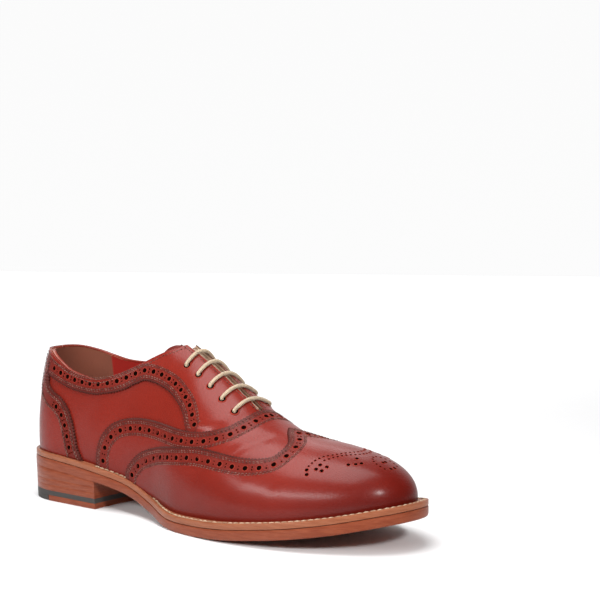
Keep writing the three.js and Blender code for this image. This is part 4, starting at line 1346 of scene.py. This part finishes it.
def build_heel(last, leather, rubber):
    piece, layer, lift = bottom().top_piece, bottom().rubber, bottom().lift
    split = bottom().tip_split
    base = piece + layer
    heel_layer(last, "heel_top_leather", leather, "sole_leather", "heel_top_piece", 0.0, piece,
        low_x=split)
    heel_layer(last, "heel_tip_rubber", rubber, "heel_rubber", "heel_rubber_tip", 0.0, piece,
        high_x=split - 0.1 * MM)
    heel_layer(last, "heel_layer_rubber", rubber, "heel_rubber", "heel_rubber_layer", piece, base)
    heel_layer(last, "heel_lift_low", leather, "sole_leather", "heel_lift_1", base, base + lift)
    heel_layer(last, "heel_lift_middle", leather, "sole_leather", "heel_lift_2", base + lift,
        base + 2 * lift)
    return heel_layer(last, "heel_lift_high", leather, "sole_leather", "heel_lift_3", base + 2 * lift)


# Materials


class Wire:
    """A socket of a material, whose arithmetic adds nodes."""

    def __init__(self, paint, socket):
        self.paint, self.socket = paint, socket

    def _do(self, operation, *others, swap=False):
        values = [self, *others]
        return self.paint.math(operation, *(values[::-1] if swap else values))

    def __add__(self, other):
        return self._do("ADD", other)

    __radd__ = __add__

    def __sub__(self, other):
        return self._do("SUBTRACT", other)

    def __rsub__(self, other):
        return self._do("SUBTRACT", other, swap=True)

    def __mul__(self, other):
        return self._do("MULTIPLY", other)

    __rmul__ = __mul__

    def __truediv__(self, other):
        return self._do("DIVIDE", other)

    def __pow__(self, other):
        return self._do("POWER", other)

    def between(self, low, high):
        """0 below low, 1 above high, smooth between."""
        node = self.paint.node("ShaderNodeMapRange", interpolation_type="SMOOTHSTEP")
        self.paint.join(self, node.inputs["Value"])
        node.inputs["From Min"].default_value = low
        node.inputs["From Max"].default_value = high
        return Wire(self.paint, node.outputs["Result"])

    def sine(self):
        return self._do("SINE")

    def clamped(self):
        return self.paint.math("MINIMUM", self.paint.math("MAXIMUM", self, 0.0), 1.0)


class Paint:
    """A material whose nodes are added by calls."""

    def __init__(self, name):
        self.material = bpy.data.materials.new(name)
        self.material.use_nodes = True
        self.tree = self.material.node_tree
        self.shader = self.tree.nodes["Principled BSDF"]

    def node(self, kind, **settings):
        node = self.tree.nodes.new(kind)
        for key, value in settings.items():
            setattr(node, key, value)
        return node

    def join(self, value, socket):
        if isinstance(value, Wire):
            self.tree.links.new(value.socket, socket)
        elif hasattr(value, "__len__") and len(value) == 3 and socket.type == "RGBA":
            socket.default_value = (*value, 1.0)
        else:
            socket.default_value = value

    def math(self, operation, *values):
        node = self.node("ShaderNodeMath", operation=operation)
        for value, socket in zip(values, node.inputs):
            self.join(value, socket)
        return Wire(self, node.outputs["Value"])

    def place(self):
        return Wire(self, self.node("ShaderNodeTexCoord").outputs["Object"])

    def axes(self):
        node = self.node("ShaderNodeSeparateXYZ")
        self.join(self.place(), node.inputs[0])
        return [Wire(self, socket) for socket in node.outputs]

    def vector(self, x, y, z):
        node = self.node("ShaderNodeCombineXYZ")
        for value, socket in zip((x, y, z), node.inputs):
            self.join(value, socket)
        return Wire(self, node.outputs["Vector"])

    def mark(self, name):
        return Wire(self, self.node("ShaderNodeAttribute", attribute_name=name).outputs["Fac"])

    def noise(self, scale, detail_level=3.0, roughness=0.5, where=None):
        node = self.node("ShaderNodeTexNoise")
        self.join(where or self.place(), node.inputs["Vector"])
        node.inputs["Scale"].default_value = scale
        node.inputs["Detail"].default_value = detail_level
        node.inputs["Roughness"].default_value = roughness
        return Wire(self, node.outputs["Fac"])

    def cells(self, scale, feature="F1", where=None):
        node = self.node("ShaderNodeTexVoronoi", feature=feature)
        self.join(where or self.place(), node.inputs["Vector"])
        node.inputs["Scale"].default_value = scale
        return Wire(self, node.outputs["Distance"])

    def blend(self, a, b, share):
        node = self.node("ShaderNodeMix", data_type="RGBA", clamp_factor=True)
        self.join(share, node.inputs[0])
        self.join(a, node.inputs[6])
        self.join(b, node.inputs[7])
        return Wire(self, node.outputs[2])

    def bump(self, height, distance, strength=1.0):
        node = self.node("ShaderNodeBump")
        self.join(height, node.inputs["Height"])
        node.inputs["Distance"].default_value = distance
        node.inputs["Strength"].default_value = strength
        self.tree.links.new(node.outputs["Normal"], self.shader.inputs["Normal"])

    def set(self, **inputs):
        for name, value in inputs.items():
            self.join(value, self.shader.inputs[name.replace("_", " ")])
        return self.material


def polished_calf(name):
    """Cognac calf: burnished darker low down and at the toe and heel, darker in its bands."""
    paint = Paint(name)
    hues = colours()
    x, y, z = paint.axes()
    cloud = paint.noise(28.0, 4.0, 0.55)
    mottle = paint.noise(180.0, 3.0, 0.6)
    toe = x.between(0.175, 0.262)
    heel = 1.0 - x.between(-0.046, -0.004)
    low = 1.0 - z.between(0.012, 0.050)
    burnish = (toe * 0.70 + heel * 0.50 + low * 0.45 + (cloud - 0.5) * 0.55).clamped()
    colour = paint.blend(hues.calf, hues.calf_deep, burnish)
    away = paint.mark("mark")
    edge = 1.0 - away.between(0.0098, 0.0108)
    colour = paint.blend(colour, hues.calf_band, edge * (0.35 + mottle * 0.5))
    outer_seam = 1.0 - away.between(0.0027, 0.0033)
    inner_seam = away.between(0.0083, 0.0088) * edge
    colour = paint.blend(colour, (0.048, 0.009, 0.007),
        (outer_seam + inner_seam * 0.7) * (0.2 + mottle * 0.4))
    tip = 1.0 - away.between(0.0003, 0.0009)
    colour = paint.blend(colour, (0.065, 0.018, 0.014), tip * 0.75)
    grain = paint.cells(1150.0) * 0.7 + paint.noise(2600.0, 2.0, 0.6) * 0.3
    soft = paint.noise(60.0, 2.0, 0.5)
    paint.bump(grain * 0.9 + soft * 1.2, 0.00028, 0.8)
    rough = 0.37 + (mottle - 0.5) * 0.10 + edge * 0.06 + tip * 0.25
    polish = (1.0 - edge * 0.55) * (1.0 - x.between(0.228, 0.258) * 0.75) * 0.36
    paint.set(Base_Color=colour, Roughness=rough, Coat_Weight=polish, Coat_Roughness=0.24,
        Specular_IOR_Level=0.06)
    return paint.material


def lining_leather():
    """Brown suede at the heel, red calf lining in front of it."""
    paint = Paint("lining")
    x, y, z = paint.axes()
    fine = paint.noise(900.0, 3.0, 0.6)
    cloud = paint.noise(50.0, 3.0, 0.5)
    suede = paint.blend(colours().suede, (0.200, 0.062, 0.035), cloud)
    red = paint.blend(colours().red_lining, (0.360, 0.014, 0.010), cloud)
    front = x.between(-0.0085, -0.0075)
    paint.bump(fine, 0.00015, 0.6)
    paint.set(Base_Color=paint.blend(suede, red, front), Roughness=0.85 - front * 0.35)
    return paint.material


def edge_leather():
    """Rolled topline, lighter on its crown by a painted highlight flecked with fine noise."""
    paint = Paint("rolled_edge")
    crown = 1.0 - (paint.mark("mark") - 0.5) * (paint.mark("mark") - 0.5) * 9.0
    fine = paint.noise(600.0, 3.0, 0.6)
    # painted highlight: the top of the rolled edge is coloured lighter, flecked by fine noise
    crown_highlight = crown.clamped() * (0.35 + fine * 0.5)
    colour = paint.blend((0.190, 0.026, 0.016), (0.480, 0.150, 0.090), crown_highlight)
    raw = paint.blend((0.230, 0.130, 0.080), (0.520, 0.370, 0.250), crown_highlight)
    colour = paint.blend(colour, raw, paint.mark("along").between(0.452, 0.462))
    paint.bump(fine, 0.0001, 0.5)
    paint.set(Base_Color=colour, Roughness=0.42, Coat_Weight=0.2, Specular_IOR_Level=0.2)
    return paint.material


def hole_painted_shade():
    """Leather lip round a well coloured nearly black: painted shade for the inside of the hole."""
    paint = Paint("punched_hole")
    lip = paint.noise(700.0, 2.0, 0.5)
    leather = paint.blend((0.300, 0.040, 0.026), (0.180, 0.020, 0.013), lip)
    # painted shade: the inner rings are coloured nearly black, standing for the hole's depth
    well = paint.mark("mark").between(0.15, 0.45)
    paint.set(Base_Color=paint.blend(leather, (0.004, 0.0015, 0.001), well), Roughness=1.0,
        Specular_IOR_Level=0.0)
    return paint.material


def thread(name, light, dark):
    paint = Paint(name)
    x, y, z = paint.axes()
    twist = ((x + y + z) * 9000.0).sine()
    fleck = paint.noise(300.0, 2.0, 0.6)
    paint.bump(twist, 0.00006, 0.6)
    paint.set(Base_Color=paint.blend(dark, light, fleck.between(0.35, 0.65)), Roughness=0.7,
              Specular_IOR_Level=0.15)
    return paint.material


def braid():
    """Round braid: two crossing sets of strands along and round the cord, with painted shade where the
    strands dip, flecked with grey.
    """
    paint = Paint("lace_braid")
    along = paint.mark("along") * 5200.0
    around = paint.mark("mark") * (2 * math.pi * 5)
    strands = ((along + around).sine() + (along - around).sine()) * 0.5
    fleck = paint.noise(900.0, 2.0, 0.7)
    # painted shade: the colour follows the strands' bump, darker in the dips between strands
    colour = paint.blend(colours().lace_groove_shade, colours().lace, strands * 0.35 + 0.6)
    colour = paint.blend(colour, (0.130, 0.105, 0.080), fleck.between(0.56, 0.68) * 0.7)
    paint.bump(strands, 0.00012, 0.8)
    paint.set(Base_Color=colour, Roughness=0.65, Sheen_Weight=0.2)
    return paint.material


def stacked_leather(name, light, dark, layers=9.0):
    """Burnished sole edge: thin layers along Z with streaks and a waxed gloss."""
    paint = Paint(name)
    x, y, z = paint.axes()
    stretched = paint.vector(x * 1.0, y * 1.0, z * layers)
    streak = paint.noise(90.0, 4.0, 0.6, stretched)
    fine = paint.noise(900.0, 3.0, 0.6, stretched)
    colour = paint.blend(dark, light, (streak - 0.5) * 1.6 + 0.5)
    colour = paint.blend(colour, dark, fine.between(0.5, 0.8) * 0.4)
    paint.bump(fine, 0.00012, 0.5)
    polish = (1.0 - x.between(0.195, 0.245) * 0.8) * 0.3
    paint.set(Base_Color=colour, Roughness=0.36 + fine * 0.14, Coat_Weight=polish, Coat_Roughness=0.16,
              Specular_IOR_Level=0.06)
    return paint.material


def plain_rubber():
    paint = Paint("heel_rubber")
    fine = paint.noise(1100.0, 3.0, 0.6)
    scuff = paint.noise(120.0, 4.0, 0.6)
    paint.bump(fine, 0.0001, 0.5)
    paint.set(Base_Color=paint.blend((0.022, 0.020, 0.019), (0.050, 0.044, 0.040), scuff),
        Roughness=0.62 + scuff * 0.15)
    return paint.material


def sock_leather():
    paint = Paint("insole")
    fine = paint.noise(800.0, 3.0, 0.6)
    cloud = paint.noise(40.0, 3.0, 0.5)
    paint.bump(fine, 0.00012, 0.5)
    paint.set(Base_Color=paint.blend((0.300, 0.135, 0.065), (0.190, 0.080, 0.040), cloud),
        Roughness=0.6)
    return paint.material


# Stage


def stage_sheet(name, corners, material):
    mesh = bpy.data.meshes.new(name)
    mesh.from_pydata(corners, [], [(0, 1, 2, 3)])
    mesh.materials.append(material)
    sheet = bpy.data.objects.new(name, mesh)
    bpy.context.scene.collection.objects.link(sheet)


def floor_paper():
    """White paper whose far end, behind the shoe, glows with painted light that grows with distance
    from the shoe.
    """
    paint = Paint("floor_paper")
    x, y, z = paint.axes()
    angle = bpy.context.scene.stage_sizes.azimuth
    # painted light: emission that rises with distance behind the shoe
    far = (y * math.cos(angle) - x * math.sin(angle)).between(0.10, 1.30)
    paint.set(Base_Color=(0.84, 0.84, 0.845), Roughness=0.8)
    paint.join(paint.blend((0.0, 0.0, 0.0), (1.0, 1.0, 1.0), far),
        paint.shader.inputs["Emission Color"])
    paint.shader.inputs["Emission Strength"].default_value = 0.70
    return paint.material


def back_paper():
    paint = Paint("back_paper")
    paint.set(Base_Color=(0.03, 0.03, 0.03), Roughness=1.0, Emission_Color=(1.0, 1.0, 1.0),
        Emission_Strength=0.94)
    return paint.material


def build_stage():
    """A floor, and a back paper upright across the camera's view."""
    w = 6.0
    stage_sheet("floor", [(-w, -w, 0), (w, -w, 0), (w, w, 0), (-w, w, 0)], floor_paper())
    angle = bpy.context.scene.stage_sizes.azimuth
    away = np.array([-math.sin(angle), math.cos(angle), 0.0]) * 3.0
    right = np.array([math.cos(angle), math.sin(angle), 0.0]) * 3.5
    high = np.array([0.0, 0.0, 2.6])
    corners = [away - right, away + right, away + right + high, away - right + high]
    stage_sheet("back_paper", [tuple(c) for c in corners], back_paper())
    world = bpy.data.worlds.new("studio")
    world.use_nodes = True
    world.node_tree.nodes["Background"].inputs["Color"].default_value = (1.0, 1.0, 1.0, 1.0)
    world.node_tree.nodes["Background"].inputs["Strength"].default_value = 0.16
    bpy.context.scene.world = world


# Softboxes: name, place, aim, width, height, power, and the shape of the lamp
SOFTBOXES = (
    ("overhead", (0.08, -0.16, 0.95), (0.08, -0.04, 0.0), 0.70, 0.74, 9.6, "RECTANGLE"),
    ("window", (0.07, -1.01, 0.53), (0.15, 0.0, 0.03), 0.95, 0.15, 7.4, "RECTANGLE"),
    ("round_lamp", (1.017, -0.405, 0.535), (0.20, 0.0, 0.03), 0.14, 0.14, 6.5, "DISK"),
    ("back", (-0.45, 0.65, 0.85), (0.05, 0.0, 0.05), 0.60, 0.40, 1.8, "RECTANGLE"),
)


def build_lights():
    for name, place, aim, width, height, power, shape in SOFTBOXES:
        lamp = bpy.data.lights.new(name, "AREA")
        lamp.shape = shape
        lamp.size, lamp.energy = width, power
        if shape == "RECTANGLE":
            lamp.size_y = height
        holder = bpy.data.objects.new(name, lamp)
        holder.location = place
        holder.rotation_euler = (Vector(aim) - Vector(place)).to_track_quat("-Z", "Y").to_euler()
        bpy.context.scene.collection.objects.link(holder)


def build_camera():
    """Camera at target + back x distance, with the photo's angles."""
    stage = bpy.context.scene.stage_sizes
    ca, sa = math.cos(stage.azimuth), math.sin(stage.azimuth)
    ce, se = math.cos(stage.elevation), math.sin(stage.elevation)
    back = Vector((sa * ce, -ca * ce, se))
    right = Vector((0, 0, 1)).cross(back).normalized()
    up = back.cross(right)
    turned = Matrix((right, up, back)).transposed().to_4x4()
    turned = turned @ Matrix.Rotation(-stage.roll, 4, "Z").inverted() @ Matrix.Rotation(stage.aim_up,
        4, "X")
    data = bpy.data.cameras.new("camera")
    data.sensor_width = 36
    data.lens = stage.lens
    data.clip_start = 0.01
    camera = bpy.data.objects.new("camera", data)
    camera.matrix_world = Matrix.Translation(Vector(stage.target) + back * stage.distance) @ turned
    bpy.context.scene.collection.objects.link(camera)
    bpy.context.scene.camera = camera


# Operators


class SHOE_OT_upper(bpy.types.Operator):
    """Build the upper's panels, lining and topline"""

    bl_idname = "shoe.upper"
    bl_label = "Upper"

    def execute(self, context):
        last = Last()
        topline = Topline(last)
        calf = polished_calf("upper_calf")
        build_quarters(last, topline, calf)
        build_vamp(last, calf)
        build_wing(last, calf)
        build_facing(last, topline, LATERAL, "facing_leather_outer", calf)
        build_facing(last, topline, MEDIAL, "facing_leather_inner", calf)
        build_counter(last, topline, calf)
        build_topline(last, topline, edge_leather())
        build_lining(last, topline, lining_leather())
        build_tongue(last, calf)
        return {"FINISHED"}


class SHOE_OT_brogueing(bpy.types.Operator):
    """Punch the holes and sew the seams"""

    bl_idname = "shoe.brogueing"
    bl_label = "Holes and seams"

    def execute(self, context):
        last = Last()
        # the holes' nearly black wells are painted shade
        dark = hole_painted_shade()
        seams = thread("seam_thread", colours().seam, colours().seam_deep)
        build_brogueing(last, Topline(last), dark, seams)
        build_eyelets(last, dark)
        return {"FINISHED"}


class SHOE_OT_lace(bpy.types.Operator):
    """Run the lace through the eyelets"""

    bl_idname = "shoe.lace"
    bl_label = "Lace"

    def execute(self, context):
        build_lace(Last(), braid())
        return {"FINISHED"}


class SHOE_OT_bottom(bpy.types.Operator):
    """Build the insole, welt, outsole and heel"""

    bl_idname = "shoe.bottom"
    bl_label = "Bottom"

    def execute(self, context):
        last = Last()
        sole = stacked_leather("sole_edge", colours().sole, colours().sole_deep)
        welt = stacked_leather("welt_edge", colours().welt, colours().welt_deep)
        build_insole(last, sock_leather())
        build_welt(last, welt)
        build_welt_stitches(last, thread("welt_thread", colours().welt_thread, (0.330, 0.210, 0.130)))
        build_outsole(last, sole)
        build_heel(last, sole, plain_rubber())
        return {"FINISHED"}


class SHOE_OT_stage(bpy.types.Operator):
    """Set the floor, lights and camera"""

    bl_idname = "shoe.stage"
    bl_label = "Stage"

    def execute(self, context):
        build_stage()
        build_lights()
        build_camera()
        context.scene.view_settings.view_transform = "Standard"
        return {"FINISHED"}


class SHOE_PT_panel(bpy.types.Panel):
    """Sizes and builders of the shoe"""

    bl_idname = "SHOE_PT_panel"
    bl_label = "Brogue shoe"
    bl_space_type = "VIEW_3D"
    bl_region_type = "UI"
    bl_category = "Shoe"

    def draw(self, context):
        scene = context.scene
        for group in (scene.shoe_sizes, scene.bottom_sizes, scene.detail_sizes, scene.shoe_colours):
            box = self.layout.box()
            for name in group.bl_rna.properties.keys():
                if name not in ("rna_type", "name"):
                    box.prop(group, name)
        for operator in OPERATORS:
            self.layout.operator(operator.bl_idname)


GROUPS = (ShoeSizes, BottomSizes, DetailSizes, ShoeColours, StageSizes)
OPERATORS = (SHOE_OT_upper, SHOE_OT_brogueing, SHOE_OT_lace, SHOE_OT_bottom, SHOE_OT_stage)
CLASSES = (*GROUPS, *OPERATORS, SHOE_PT_panel)


def register():
    for item in CLASSES:
        bpy.utils.register_class(item)
    bpy.types.Scene.shoe_sizes = PointerProperty(type=ShoeSizes)
    bpy.types.Scene.bottom_sizes = PointerProperty(type=BottomSizes)
    bpy.types.Scene.detail_sizes = PointerProperty(type=DetailSizes)
    bpy.types.Scene.shoe_colours = PointerProperty(type=ShoeColours)
    bpy.types.Scene.stage_sizes = PointerProperty(type=StageSizes)


def unregister():
    for name in ("shoe_sizes", "bottom_sizes", "detail_sizes", "shoe_colours", "stage_sizes"):
        delattr(bpy.types.Scene, name)
    for item in reversed(CLASSES):
        bpy.utils.unregister_class(item)


def main():
    register()
    bpy.ops.shoe.stage()
    bpy.ops.shoe.upper()
    bpy.ops.shoe.brogueing()
    bpy.ops.shoe.lace()
    bpy.ops.shoe.bottom()


if __name__ == "__main__":
    main()
